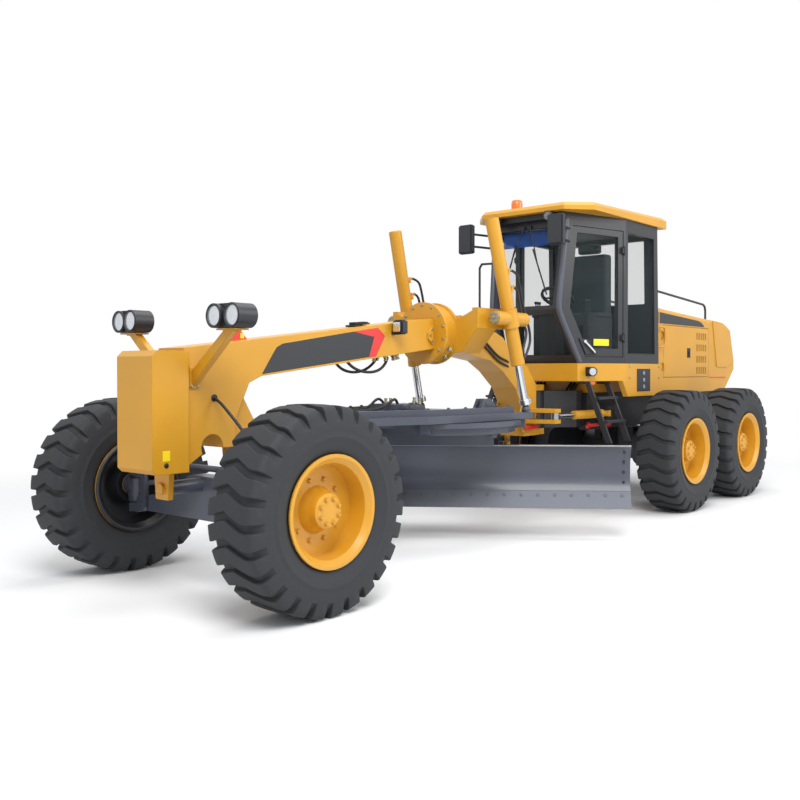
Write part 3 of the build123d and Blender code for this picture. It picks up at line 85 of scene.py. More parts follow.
def blank(name):
    """A new material, with its nodes, links and shader."""
    mat = bpy.data.materials.new(name)
    mat.use_nodes = True
    nodes = mat.node_tree.nodes
    return mat, nodes, mat.node_tree.links, nodes["Principled BSDF"]


def noise(nodes, links, where, scale, detail=2.0):
    """A noise texture's value over coordinates."""
    made = nodes.new("ShaderNodeTexNoise")
    made.inputs["Scale"].default_value = scale
    made.inputs["Detail"].default_value = detail
    links.new(where, made.inputs["Vector"])
    return made.outputs["Fac"]


def spread(nodes, links, value, low, high, start=0.0, end=1.0):
    """A value that runs from start to end, made to run from low to high."""
    made = nodes.new("ShaderNodeMapRange")
    made.inputs["From Min"].default_value = start
    made.inputs["From Max"].default_value = end
    made.inputs["To Min"].default_value = low
    made.inputs["To Max"].default_value = high
    links.new(value, made.inputs["Value"])
    return made.outputs["Result"]


def ramp(nodes, links, value, stops):
    """A colour for each value, between two (position, colour) stops."""
    made = nodes.new("ShaderNodeValToRGB")
    for element, (position, tone) in zip(made.color_ramp.elements, stops):
        element.position = position
        element.color = tone
    links.new(value, made.inputs["Fac"])
    return made.outputs["Color"]


DUST = colour(150, 142, 128)


def material(name, base, rough, metal=0.0, coat=0.0, shade=0.10, grain=(300.0, 0.02), wear=0.0,
             round_edge=0.004):
    """Paint, rubber or metal: cloudy colour and gloss, specks of dust, a fine grain and soft edges."""
    mat, nodes, links, shader = blank(name)
    mat.diffuse_color = base
    shader.inputs["Metallic"].default_value = metal
    shader.inputs["Coat Weight"].default_value = coat
    shader.inputs["Coat Roughness"].default_value = 0.12
    where = nodes.new("ShaderNodeTexCoord").outputs["Object"]
    cloud = noise(nodes, links, where, 2.2, 5.0)
    tint = ramp(nodes, links, cloud, ((0.32, lit(base, 1 - shade)), (0.72, lit(base, 1 + shade * 0.5))))
    if wear:
        speck = noise(nodes, links, where, 38.0, 8.0)
        mix = nodes.new("ShaderNodeMixRGB")
        mix.inputs["Color2"].default_value = DUST
        links.new(spread(nodes, links, speck, 0.0, wear, 0.60, 0.74), mix.inputs["Fac"])
        links.new(tint, mix.inputs["Color1"])
        tint = mix.outputs["Color"]
    links.new(tint, shader.inputs["Base Color"])
    gloss = spread(nodes, links, cloud, rough * 0.88, min(1.0, rough * 1.15))
    links.new(gloss, shader.inputs["Roughness"])
    bump = nodes.new("ShaderNodeBump")
    bump.inputs["Strength"].default_value = grain[1]
    bump.inputs["Distance"].default_value = 0.002
    links.new(noise(nodes, links, where, grain[0]), bump.inputs["Height"])
    if round_edge:
        edge = nodes.new("ShaderNodeBevel")
        edge.samples = 4
        edge.inputs["Radius"].default_value = round_edge
        links.new(edge.outputs["Normal"], bump.inputs["Normal"])
    links.new(bump.outputs["Normal"], shader.inputs["Normal"])
    return mat


def clear(name, base, alpha, rough=0.03):
    """Thin window glass or a lamp's lens."""
    mat, nodes, links, shader = blank(name)
    shader.inputs["Alpha"].default_value = alpha
    shader.inputs["Specular IOR Level"].default_value = 0.1
    where = nodes.new("ShaderNodeTexCoord").outputs["Object"]
    streak = noise(nodes, links, where, 4.0)
    tint = ramp(nodes, links, streak, ((0.0, lit(base, 0.85)), (1.0, base)))
    links.new(tint, shader.inputs["Base Color"])
    links.new(spread(nodes, links, streak, rough, rough + 0.05), shader.inputs["Roughness"])
    return mat


MATERIALS = {
    "yellow": material("yellow_paint", colour(208, 150, 34), 0.40, coat=0.15, shade=0.07, wear=0.03,
                       round_edge=0.010),
    "slate": material("slate_paint", colour(72, 76, 88), 0.40, coat=0.2, shade=0.10, wear=0.05),
    "black": material("black_paint", colour(32, 34, 39), 0.46, coat=0.08, shade=0.12, wear=0.03),
    "tyre": material("tyre_rubber", colour(40, 42, 46), 0.72, shade=0.16, grain=(120.0, 0.25), wear=0.03,
                     round_edge=0.003),
    "chrome": material("chrome", colour(205, 208, 212), 0.14, metal=1.0, shade=0.05, grain=(500.0, 0.01)),
    "steel": material("steel", colour(92, 95, 103), 0.50, metal=0.6, shade=0.14, grain=(180.0, 0.10),
                      wear=0.05),
    "glass": clear("window_glass", colour(70, 84, 86), 0.10),
    "plastic": material("cab_plastic", colour(42, 45, 50), 0.62, shade=0.12, grain=(220.0, 0.12)),
    "red": material("red_paint", colour(215, 45, 40), 0.38, coat=0.3, shade=0.08),
    "amber": material("amber_plastic", colour(238, 120, 26), 0.28, coat=0.5, shade=0.08),
    "iron": material("cast_iron", colour(70, 66, 62), 0.62, metal=0.5, shade=0.2, grain=(90.0, 0.3)),
    "dark": material("dark_film", colour(38, 40, 44), 0.48, coat=0.1, shade=0.06),
    "silver": material("reflector", colour(225, 228, 232), 0.16, metal=0.85, shade=0.06,
                       grain=(60.0, 0.20)),
    "zinc": material("zinc_plate", colour(176, 168, 140), 0.34, metal=0.8, shade=0.16),
    "label": material("label_yellow", colour(246, 216, 30), 0.45, shade=0.04),
    "pale": material("label_grey", colour(150, 152, 156), 0.42, metal=0.4, shade=0.05),
    "visor": clear("visor_tint", colour(40, 84, 170), 0.72, 0.10),
    "lens": clear("lamp_lens", colour(225, 232, 238), 0.22, 0.06),
    # Light steel for the blade's top lip: a painted highlight, with real specks of dust.
    "worn": material("highlight_and_wear_steel", colour(158, 160, 166), 0.34, metal=0.7, shade=0.16, grain=(140.0, 0.12),
                     wear=0.2),
    "seat": material("seat_cloth", colour(60, 66, 70), 0.85, shade=0.14, grain=(90.0, 0.10)),
    "hose": material("hose_rubber", colour(26, 27, 30), 0.50, shade=0.1, grain=(260.0, 0.2)),
}

for part in frame["record"]["subparts"]:
    node = frame["nodes"][part["node"]]
    node.data.materials.clear()
    node.data.materials.append(MATERIALS[part["material_slot"]])


# ---------------------------------------------------------------- shape helpers
def placed(name, data, finish, body):
    """A new object of the scene in its finish, riding on a body."""
    data.materials.append(MATERIALS[finish])
    obj = bpy.data.objects.new(name, data)
    bpy.context.scene.collection.objects.link(obj)
    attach(obj, body)
    return obj


def piece(name, mesh, finish, body, smooth=40):
    """A mesh as a piece, smooth but for edges sharper than an angle in degrees."""
    if smooth:
        mesh.shade_smooth()
        mesh.set_sharp_from_angle(angle=math.radians(smooth))
    return placed(name, mesh, finish, body)


def mesh_of(name, build):
    """A mesh made by a function that fills a bmesh."""
    work = bmesh.new()
    build(work)
    bmesh.ops.recalc_face_normals(work, faces=work.faces)
    mesh = bpy.data.meshes.new(name)
    work.to_mesh(mesh)
    work.free()
    return mesh


def shape(name, build, finish, body, smooth=40):
    """A piece made by a function that fills a bmesh."""
    return piece(name, mesh_of(name, build), finish, body, smooth)


def join_loops(work, loops, closed=False):
    """Faces from each loop to the next and from the last to the first; closed joins a loop's ends too."""
    steps = len(loops[0]) if closed else len(loops[0]) - 1
    for one, two in zip(loops, loops[1:] + loops[:1]):
        for a in range(steps):
            b = (a + 1) % len(one)
            work.faces.new((one[a], one[b], two[b], two[a]))


def soften(work, edges, bevel):
    """Round edges off, each of them once."""
    bmesh.ops.bevel(work, geom=list(dict.fromkeys(edges)), offset=bevel, segments=2, affect="EDGES",
                    clamp_overlap=True)


def add_prism(work, outline, shift, bevel=0.0):
    """An outline of points pushed along a vector, with its edges softened."""
    near = [work.verts.new(point) for point in outline]
    far = [work.verts.new(Vector(point) + shift) for point in outline]
    faces = [work.faces.new(near), work.faces.new(list(reversed(far)))]
    count = len(outline)
    for index in range(count):
        after = (index + 1) % count
        faces.append(work.faces.new((near[after], near[index], far[index], far[after])))
    if bevel:
        soften(work, [edge for face in faces for edge in face.edges], bevel)


def add_round(work, start, end, radius, sides=24, bevel=0.0, end_radius=None):
    """A round bar between two points, or a cone where the ends differ."""
    start, end = Vector(start), Vector(end)
    run = end - start
    turn = run.to_track_quat("Z", "Y").to_matrix().to_4x4()
    spot = Matrix.Translation((start + end) / 2) @ turn
    made = bmesh.ops.create_cone(work, cap_ends=True, segments=sides, radius1=radius,
                                 radius2=radius if end_radius is None else end_radius,
                                 depth=run.length, matrix=spot)
    if bevel:
        rims = [edge for vert in made["verts"] for edge in vert.link_edges
                if max(len(face.verts) for face in edge.link_faces) > 4]
        soften(work, rims, bevel)


def add_block(work, one, other, bevel=0.004):
    """A box between two opposite corners, with its edges softened."""
    low = [min(a, b) for a, b in zip(one, other)]
    high = [max(a, b) for a, b in zip(one, other)]
    foot = [(low[0], low[1], low[2]), (high[0], low[1], low[2]), (high[0], high[1], low[2]),
            (low[0], high[1], low[2])]
    add_prism(work, foot, Vector((0, 0, high[2] - low[2])), bevel)


def rounds(name, bars, finish, body, smooth=40):
    """A piece of round bars, each given as add_round takes it."""
    def build(work):
        for bar in bars:
            add_round(work, *bar)
    shape(name, build, finish, body, smooth)


def blocks(name, boxes, finish, body):
    """A piece of softened boxes, each given as add_block takes it."""
    def build(work):
        for box in boxes:
            add_block(work, *box)
    shape(name, build, finish, body)


def oblong(first, far):
    """An upright rectangle's corners, from two opposite (station, Z) corners."""
    return [first, (far[0], first[1]), far, (first[0], far[1])]


def side_film(name, outline, y, side, finish, body, thick=0.0015):
    """A thin film on a side face, from (station, Z) points."""
    def build(work):
        add_prism(work, [at(x, y * side, z) for x, z in outline], Vector((0, thick * side, 0)))
    shape(name, build, finish, body, smooth=0)


def hex_heads(name, places, finish, body, radius=0.014, height=0.012):
    """Bolt heads on washers, at (point, direction) places."""
    bars = []
    for point, facing in places:
        point, facing = Vector(point), Vector(facing).normalized()
        bars.append((point - facing * 0.002, point + facing * 0.003, radius * 1.45, 16))
        bars.append((point, point + facing * height, radius, 6, 0.0015))
    rounds(name, bars, finish, body, smooth=30)


def hose(name, points, radius, body, finish="hose"):
    """A fixed hose or pipe as a smooth tube along points."""
    curve = bpy.data.curves.new(name, "CURVE")
    curve.dimensions = "3D"
    curve.bevel_depth = radius
    curve.bevel_resolution = 3
    curve.resolution_u = 8
    curve.use_fill_caps = True
    line = curve.splines.new("NURBS")
    line.points.add(len(points) - 1)
    for spot, point in zip(line.points, points):
        spot.co = (*point, 1)
    line.order_u = 3
    line.use_endpoint_u = True
    placed(name, curve, finish, body)


# ---------------------------------------------------------------- tyres
LUGS = 26
# A lug's columns round the tyre: (share of the pitch, share of the lug's height).
LUG_COLUMNS = ((0.0, 0.0), (0.145, 0.0), (0.172, 0.90), (0.20, 1.0), (0.5, 1.0), (0.80, 1.0), (0.828, 0.90),
               (0.855, 0.0))
# A lug's line across the tread: (place across, how far round).
ZIGZAG = ((-0.2325, -0.020), (-0.030, 0.035), (0.120, -0.030), (0.2325, -0.030))
# Half section, bead to middle of the tread: (in from the side wall, radius) on a lug, then in a groove.
SECTION = [
    ((0.068, 0.320), (0.068, 0.320)), ((0.050, 0.345), (0.050, 0.345)), ((0.030, 0.374), (0.030, 0.374)),
    ((0.012, 0.415), (0.012, 0.415)), ((0.004, 0.455), (0.004, 0.455)), ((0.000, 0.462), (0.000, 0.462)),
    ((0.000, 0.470), (0.000, 0.470)), ((0.003, 0.476), (0.003, 0.476)), ((0.001, 0.505), (0.001, 0.505)),
    ((0.002, 0.535), (0.002, 0.535)), ((0.005, 0.556), (0.005, 0.556)), ((0.006, 0.566), (0.014, 0.564)),
    ((0.010, 0.595), (0.030, 0.588)), ((0.014, 0.620), (0.042, 0.606)), ((0.022, 0.640), (0.052, 0.618)),
    ((0.034, 0.652), (0.062, 0.626)), ((0.048, 0.6575), (0.074, 0.631)), ((0.075, 0.6595), (0.096, 0.634)),
    ((0.110, 0.6610), (0.120, 0.6355)), ((0.150, 0.6622), (0.155, 0.6365)),
    ((0.190, 0.6629), (0.192, 0.637)), ((0.2205, 0.6630), (0.2205, 0.637)),
]
# Rings of wheel nuts: (count, share of a step round, radius, how far they stand off the wheel's disc).
NUT_RINGS = ((10, 0.0, 0.195, 0.0), (8, 0.5, 0.080, 0.122))


def outward(point):
    return 1 if point.y > 0 else -1


def disc_face(wheel):
    """How far outside the wheel's middle its disc's face lies."""
    return 0.040 if "front" in wheel else 0.020


def zigzag(across):
    """How far round the tyre a lug's line lies, at a place across the tread."""
    for (u0, v0), (u1, v1) in zip(ZIGZAG, ZIGZAG[1:]):
        if across <= u1:
            return v0 + (v1 - v0) * (across - u0) / (u1 - u0)
    return ZIGZAG[-1][1]


def tyre(name):
    """Tyre with zigzag lugs, laid out on lines that follow the lugs' edges."""
    centre = middle(f"tyre_{name}")
    low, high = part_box(f"tyre_{name}")
    half = (high.y - low.y) / 2
    side = outward(centre)
    rows = [(half - top[0], top[1], half - floor[0], floor[1]) for top, floor in SECTION]
    rows += [(-a, b, -c, d) for a, b, c, d in reversed(rows[:-1])]

    def build(work):
        grid = []
        for number in range(LUGS):
            for share, lift in LUG_COLUMNS:
                turn = math.radians(-90) + 2 * math.pi * (number + 0.5 + share) / LUGS
                column = []
                for top_u, top_r, floor_u, floor_r in rows:
                    across = floor_u + (top_u - floor_u) * lift
                    reach = floor_r + (top_r - floor_r) * lift
                    angle = turn + zigzag(across) / high.z * 2
                    column.append(work.verts.new((centre.x + reach * math.cos(angle),
                                                  centre.y + across * side,
                                                  centre.z + reach * math.sin(angle))))
                grid.append(column)
        join_loops(work, grid, closed=True)
    obj = piece(f"lugged_tyre_{name}", mesh_of(name, build), "tyre", f"wheel_{name}", smooth=32)
    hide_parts(f"tyre_{name}")


for wheel_name in WHEELS:
    tyre(wheel_name)
    hub = middle(f"tyre_{wheel_name}")
    out = outward(hub)
    nuts = []
    for count, start, reach, stand in NUT_RINGS:
        for number in range(count):
            turn = 2 * math.pi * (number + start) / count
            nuts.append(((hub.x + reach * math.cos(turn), hub.y + (disc_face(wheel_name) + stand) * out,
                          hub.z + reach * math.sin(turn)), (0, out, 0)))
    hex_heads(f"wheel_nuts_{wheel_name}", nuts, "yellow", f"wheel_{wheel_name}", 0.0125, 0.016)

# ---------------------------------------------------------------- front frame
BEAM_Y = 0.145
NOSE_Y = 0.205
BEAM_BAND = [(-0.364, 1.511), (-0.470, 1.665), (-0.505, 1.710), (-0.560, 1.737), (-1.294, 1.850),
             (-1.538, 1.815), (-1.478, 1.648)]
CHEVRON = [(-1.294, 1.851), (-1.586, 1.893), (-1.671, 1.827), (-1.561, 1.655), (-1.480, 1.646),
           (-1.540, 1.815)]
for side, hand in SIDES:
    side_film(f"beam_band_{hand}", BEAM_BAND, BEAM_Y, side, "dark", "front_body")
    side_film(f"beam_chevron_{hand}", CHEVRON, BEAM_Y, side, "red", "front_body", 0.002)
    side_film(f"frame_plate_{hand}", oblong((-3.61, 1.493), (-3.72, 1.330)), BEAM_Y, side, "pale",
              "front_body", 0.003)
    hex_heads(f"post_bolts_{hand}", [(at(x, (BEAM_Y + 0.012) * side, z), (0, side, 0))
                                     for x, z in ((0.198, 1.432), (0.198, 1.540), (0.246, 1.432))],
              "zinc", "front_body", 0.009, 0.008)
side_film("nose_label_left", oblong((0.502, 1.012), (0.446, 0.944)), NOSE_Y, 1, "label", "front_body")


def ring_round_shaded_hole(name, centre, facing, radius):
    """A rubber ring round a hole, flush on a face; the dark disc inside the ring is painted shade for the
    hole's inside.
    """
    point, way = Vector(centre), Vector(facing).normalized()
    rounds(name, [(point - way * 0.002, point + way * 0.004, radius, 28, 0.0015),
                  (point, point + way * 0.006, radius * 0.62, 20, 0.001)], "hose", "front_body")


for side, hand in SIDES:
    ring_round_shaded_hole(f"nose_hole_{hand}", at(0.474, NOSE_Y * side, 0.916), (0, side, 0), 0.017)
    ring_round_shaded_hole(f"hose_hole_{hand}", at(0.053, BEAM_Y * side, 1.347), (0, side, 0), 0.026)
    hose(f"axle_hose_{hand}", [at(0.053, 0.140 * side, 1.347), at(0.050, 0.200 * side, 1.325),
                               at(0.030, 0.300 * side, 1.230), at(0.000, 0.390 * side, 1.130),
                               at(-0.030, 0.430 * side, 1.010), at(-0.030, 0.440 * side, 0.900),
                               at(-0.030, 0.410 * side, 0.810)], 0.011, "front_body")
    hex_heads(f"plate_bolts_{hand}", [(at(x, (BEAM_Y + 0.020) * side, z), (0, side, 0))
                                      for x, z in ((-2.262, 1.905), (-2.262, 1.800), (-2.238, 1.852))],
              "zinc", "front_body", 0.010, 0.008)


def lamp_lens(name, centre, facing, radius, body, bezel=0.010, bowl=0.020):
    """A bright bowl with a bulb, behind a clear ribbed lens in a dark bezel."""
    point, way = Vector(centre), Vector(facing).normalized()
    turn = way.to_track_quat("Z", "Y")

    def on_lamp(reach, angle, depth):
        return point + turn @ Vector((reach * math.cos(angle), reach * math.sin(angle), depth))

    rounds(f"{name}_bowl",
           [(point - way * bowl, point - way * 0.003, radius * 0.35, 32, 0.0, radius * 0.93),
            (point - way * 0.012, point - way * 0.001, radius * 0.22, 20, 0.004)], "silver", body)

    def bezel_shape(work):
        ring = ((radius * 0.90, 0.0), (radius * 0.93, bezel * 0.7), (radius, bezel), (radius * 1.07, 0.0),
                (radius * 1.07, -0.012), (radius * 0.90, -0.012))
        loops = [[work.verts.new(on_lamp(rim, 2 * math.pi * number / 40, depth)) for rim, depth in ring]
                 for number in range(40)]
        join_loops(work, loops, closed=True)
    shape(f"{name}_bezel", bezel_shape, "plastic", body)

    def lens_shape(work):
        peak = work.verts.new(on_lamp(0.0, 0.0, bezel * 0.5))
        rings = []
        for share in (0.25, 0.5, 0.75, 0.94):
            height = bezel * 0.5 * (1 - share ** 2)
            rings.append([work.verts.new(on_lamp(radius * share, 2 * math.pi * k / 32,
                                                 height + (0.0010 if k % 2 else 0))) for k in range(32)])
        for k in range(32):
            after = (k + 1) % 32
            work.faces.new((peak, rings[0][k], rings[0][after]))
            for inner, outer in zip(rings, rings[1:]):
                work.faces.new((inner[k], outer[k], outer[after], inner[after]))
    shape(f"{name}_lens", lens_shape, "lens", body)


for side, hand in SIDES:
    for number, (lamp_y, station) in enumerate(((0.487, 0.312), (0.657, 0.299))):
        lamp_lens(f"headlight_{hand}_{number}", at(station - 0.004, lamp_y * side, 1.890), (1, 0, 0), 0.072,
                  "front_body")
    lamp_lens(f"roof_lamp_{hand}", at(-3.880, 0.330 * side, 3.112), (1, 0, 0), 0.046, "rear_body",
              0.008, 0.012)
    lamp_lens(f"base_lamp_{hand}", at(-4.298, 0.621 * side, 1.528), (30, 43 * side, 0), 0.046, "rear_body",
              0.008, 0.012)
    low = at(-1.815, (BEAM_Y + 0.025) * side, 1.850)
    high = at(-1.745, (BEAM_Y + 0.125) * side, 1.955)
    y_low, y_high = sorted((low.y, high.y))
    blocks(f"work_lamp_shell_{hand}", [((low.x - 0.006, y_low - 0.008, low.z - 0.008),
                                        (high.x + 0.012, y_high + 0.008, high.z + 0.008), 0.018)],
           "plastic", "front_body")
    blocks(f"work_lamp_glass_{hand}", [((high.x + 0.010, y_low + 0.012, low.z + 0.012),
                                        (high.x + 0.016, y_high - 0.012, high.z - 0.012), 0.0025)],
           "silver", "front_body")

BEAM_SLOPE = 0.1206
BEAM_TOP = 1.778 - BEAM_SLOPE * 0.430


def beam_top(station):
    """The beam's top at a station; it rises towards the rear."""
    return BEAM_TOP - BEAM_SLOPE * station


CAP = at(-1.474, 0.0, beam_top(-1.474))
blocks("beam_cap", [(CAP + step(-0.070, -0.060, -0.004), CAP + step(0.070, 0.060, 0.010), 0.004),
                    (CAP + step(-0.058, -0.050, 0.006), CAP + step(0.058, 0.050, 0.034), 0.014)],
       "hose", "front_body")
for side, hand in SIDES:
    for number, x in enumerate((-0.165, -0.285)):
        side_film(f"lug_label_{hand}_{number}",
                  oblong((x - 0.018, beam_top(x) + 0.010), (x + 0.018, beam_top(x) + 0.048)), 0.0200, side,
                  "label", "front_body")

# Bolts of the saddle's ring, where the beam doesn't cover them.
SADDLE_FACE = -2.315
SADDLE_Z = (beam_top(-2.370) * 2 - 0.273) / 2
RING_REACH = 0.252
ring_bolts = []
for number in range(14):
    turn = math.pi * (number + 0.5) / 7
    spot = at(SADDLE_FACE, RING_REACH * math.cos(turn), SADDLE_Z + RING_REACH * math.sin(turn))
    if abs(spot.y) > BEAM_Y + 0.03 or spot.z > beam_top(-2.3) + 0.02:
        ring_bolts.append((spot, (1, 0, 0)))
hex_heads("saddle_bolts", ring_bolts, "zinc", "front_body", 0.010, 0.010)


def fittings(name, places, body, size=0.026):
    """Clusters of plated hydraulic unions: a hexagon, a nut and a stub at each place."""
    bars = []
    for point, facing in places:
        point, facing = Vector(point), Vector(facing).normalized()
        bars.append((point, point + facing * size * 1.1, size, 6, 0.002))
        bars.append((point + facing * size, point + facing * size * 2.0, size * 0.72, 20, 0.002))
        bars.append((point + facing * size * 1.9, point + facing * size * 2.6, size * 0.85, 6, 0.002))
    rounds(name, bars, "zinc", body, smooth=30)


for side, hand in SIDES:
    fittings(f"saddle_unions_{hand}", [(at(-2.44, 0.185 * side, 1.735), (0.3, side, -0.1)),
                                       (at(-2.50, 0.185 * side, 1.790), (0.0, side, 0.1)),
                                       (at(-2.46, 0.150 * side, 1.705), (0.2, 0.3 * side, -1))],
             "front_body")
    fittings(f"beam_unions_{hand}", [(at(-1.760, 0.060 * side, 1.672), (0, 0.2 * side, -1)),
                                     (at(-1.835, 0.080 * side, 1.680), (0.2, 0.4 * side, -1)),
                                     (at(-1.900, 0.060 * side, 1.688), (-0.2, 0.2 * side, -1))],
             "front_body", 0.022)
    hose(f"beam_hose_{hand}", [at(-1.293, 0.070 * side, 1.615), at(-1.340, 0.075 * side, 1.570),
                               at(-1.440, 0.085 * side, 1.530), at(-1.563, 0.090 * side, 1.520),
                               at(-1.680, 0.085 * side, 1.545), at(-1.770, 0.070 * side, 1.610),
                               at(-1.790, 0.062 * side, 1.650)], 0.012, "front_body")
    for number, drop in enumerate((0.0, 0.045)):
        hose(f"neck_hose_{hand}_{number}",
             [at(-2.960, 0.120 * side, 1.850 - drop), at(-3.020, 0.156 * side, 1.835 - drop),
              at(-3.121, 0.158 * side, 1.772 - drop), at(-3.241, 0.158 * side, 1.690 - drop),
              at(-3.340, 0.158 * side, 1.650 - drop), at(-3.430, 0.157 * side, 1.630 - drop),
              at(-3.500, 0.120 * side, 1.610 - drop)], 0.011, "front_body")

# ---------------------------------------------------------------- lift cylinders
LIFT_TOP = Vector((-2.589, 0.579, 2.883))
LIFT_BALL = Vector((-3.040, 0.640, 1.180))
YOKE_Z = 2.006
HOSE_ENDS = (1.700, 1.655)           # where the barrel's two hoses go in, near its foot


def lift_point(side, z):
    """A point of a lift cylinder's axis at a height."""
    share = (LIFT_TOP.z - z) / (LIFT_TOP.z - LIFT_BALL.z)
    point = LIFT_TOP + (LIFT_BALL - LIFT_TOP) * share
    return at(point.x, point.y * side, z)


for side, hand in SIDES:
    body = f"lift_barrel_{hand}"
    pin = lift_point(side, YOKE_Z)
    axis = (lift_point(side, 2.8) - lift_point(side, 1.7)).normalized()
    caps = []
    for way in (1, -1):
        face = pin + step(0.235 * way)
        caps.append((face, face + step(0.012 * way), 0.057, 32, 0.003))
        for number in range(6):
            turn = math.pi * number / 3
            spot = face + step(0.011 * way, 0.040 * math.cos(turn), 0.040 * math.sin(turn))
            caps.append((spot, spot + step(0.009 * way), 0.009, 6, 0.001))
        caps.append((face, face + step(0.024 * way), 0.016, 6, 0.002))
    rounds(f"gimbal_caps_{hand}", caps, "zinc", body, smooth=30)
    rounds(f"barrel_rings_{hand}",
           [(lift_point(side, 1.590) + axis * 0.001, lift_point(side, 1.640), 0.066, 36, 0.004),
            (lift_point(side, 2.870), lift_point(side, LIFT_TOP.z) + axis * 0.004, 0.050, 36, 0.004)],
           "yellow", body)
    high_port = lift_point(side, 2.290) + step(-0.104)
    low_port = lift_point(side, 2.440) + step(-0.104)
    fittings(f"barrel_unions_{hand}", [(high_port, (-1, 0, 0.25)), (low_port, (-1, 0, 0.25))], body, 0.018)
    for number, (start, bulge) in enumerate(((high_port, 0.130), (low_port, 0.185))):
        entry = lift_point(side, HOSE_ENDS[number])
        hose(f"barrel_hose_{hand}_{number}",
             [start + step(-0.040, 0, 0.010), start + step(-bulge * 0.75),
              start + step(-bulge, 0, -0.090), start + step(-bulge - 0.060, 0, -0.320),
              entry + step(-bulge - 0.060, 0, 0.200), entry + step(-bulge * 0.9, 0, 0.040),
              entry + step(-0.110, 0, -0.010), entry + step(-0.060)], 0.012, body)
    ports = []
    for end_z in HOSE_ENDS:
        spot = lift_point(side, end_z)
        ports.append((spot + step(-0.075), spot + step(-0.055), 0.018, 6, 0.002))
    rounds(f"barrel_ports_{hand}", ports, "zinc", body, smooth=30)

# ---------------------------------------------------------------- drawbar and blade
for side, hand in SIDES:
    spots = [(at(x, y * side, 1.210), (0, 0, 1)) for x, y in
             ((-2.880, 0.565), (-2.700, 0.558), (-2.480, 0.550), (-2.260, 0.543), (-2.060, 0.515),
              (-1.860, 0.455))]
    hex_heads(f"spine_bolts_{hand}", spots, "steel", "drawbar", 0.013, 0.012)
    hose(f"drawbar_hose_{hand}",
         [at(-1.250, 0.090 * side, 1.157), at(-1.300, 0.070 * side, 1.190), at(-1.500, 0.060 * side, 1.205),
          at(-1.700, 0.080 * side, 1.215), at(-1.820, 0.100 * side, 1.290), at(-1.870, 0.090 * side, 1.290),
          at(-1.900, 0.080 * side, 1.245)], 0.012, "drawbar")
fittings("motor_unions", [(at(-1.934, 0.300, 1.249), (0, 0, 1)), (at(-1.934, 0.240, 1.263), (0, 0, 1)),
                          (at(-1.900, -0.060, 1.250), (0, 0, 1)), (at(-1.960, -0.060, 1.250), (0, 0, 1))],
         "drawbar", 0.018)

CIRCLE_STATION = -2.480
CIRCLE = at(CIRCLE_STATION, 0, 0)
TURN = math.radians(35)
BLADE_SHIFT = -0.035
BLADE_HALF = 1.830
BLADE_LEFT = BLADE_SHIFT + BLADE_HALF
BLADE_RIGHT = BLADE_SHIFT - BLADE_HALF


def turned(station, y, z):
    """A point of the blade, laid out square and then turned about the circle's middle."""
    x = station - CIRCLE_STATION
    return Vector((CIRCLE.x + x * math.cos(TURN) - y * math.sin(TURN),
                   x * math.sin(TURN) + y * math.cos(TURN), z))


EDGE_BOLTS = 24
EDGE_TOP = 0.440
EDGE_RUN = (0.090, -0.150)           # the cutting edge's slope, forward and down
BOLT_SHARE = 0.25                    # how far down that slope its bolts lie
FACE_OUT = Vector((0.149, 0, 0.090)).normalized()
FACE_TURNED = Vector((FACE_OUT.x * math.cos(TURN), FACE_OUT.x * math.sin(TURN), FACE_OUT.z))
edge_bolts = []
for number in range(EDGE_BOLTS):
    along = BLADE_RIGHT + 0.080 + (BLADE_LEFT - BLADE_RIGHT - 0.160) * number / (EDGE_BOLTS - 1)
    spot = turned(CIRCLE_STATION - 0.030 + EDGE_RUN[0] * BOLT_SHARE, along,
                  EDGE_TOP + EDGE_RUN[1] * BOLT_SHARE)
    edge_bolts.append((spot - FACE_TURNED * 0.002, spot + FACE_TURNED * 0.003, 0.016, 20, 0.001))
    edge_bolts.append((spot, spot + FACE_TURNED * 0.005, 0.009, 4, 0.0005))
rounds("edge_bolts", edge_bolts, "steel", "blade", smooth=30)


def lip(work):
    """A lip on the blade's top edge in light steel: a painted highlight along that edge, with specks of
    dust.
    """
    section = [turned(CIRCLE_STATION + x, BLADE_RIGHT, z)
               for x, z in ((0.022, 0.846), (0.026, 0.858), (-0.004, 0.862), (-0.006, 0.850))]
    add_prism(work, section, turned(0, BLADE_LEFT, 0) - turned(0, BLADE_RIGHT, 0), 0.002)


shape("blade_lip", lip, "worn", "blade", smooth=30)

WING_OUT = Vector((math.cos(TURN), math.sin(TURN), 0.08)).normalized()
wing_holes = []
for along in (BLADE_LEFT - 0.060, BLADE_RIGHT + 0.060):
    for height, inward in ((0.790, -0.008), (0.700, -0.048), (0.610, -0.068), (0.520, -0.056)):
        spot = turned(CIRCLE_STATION + inward, along, height)
        wing_holes.append((spot - WING_OUT * 0.004, spot + WING_OUT * 0.004, 0.012, 20, 0.001))
rounds("wing_holes", wing_holes, "hose", "blade", smooth=30)

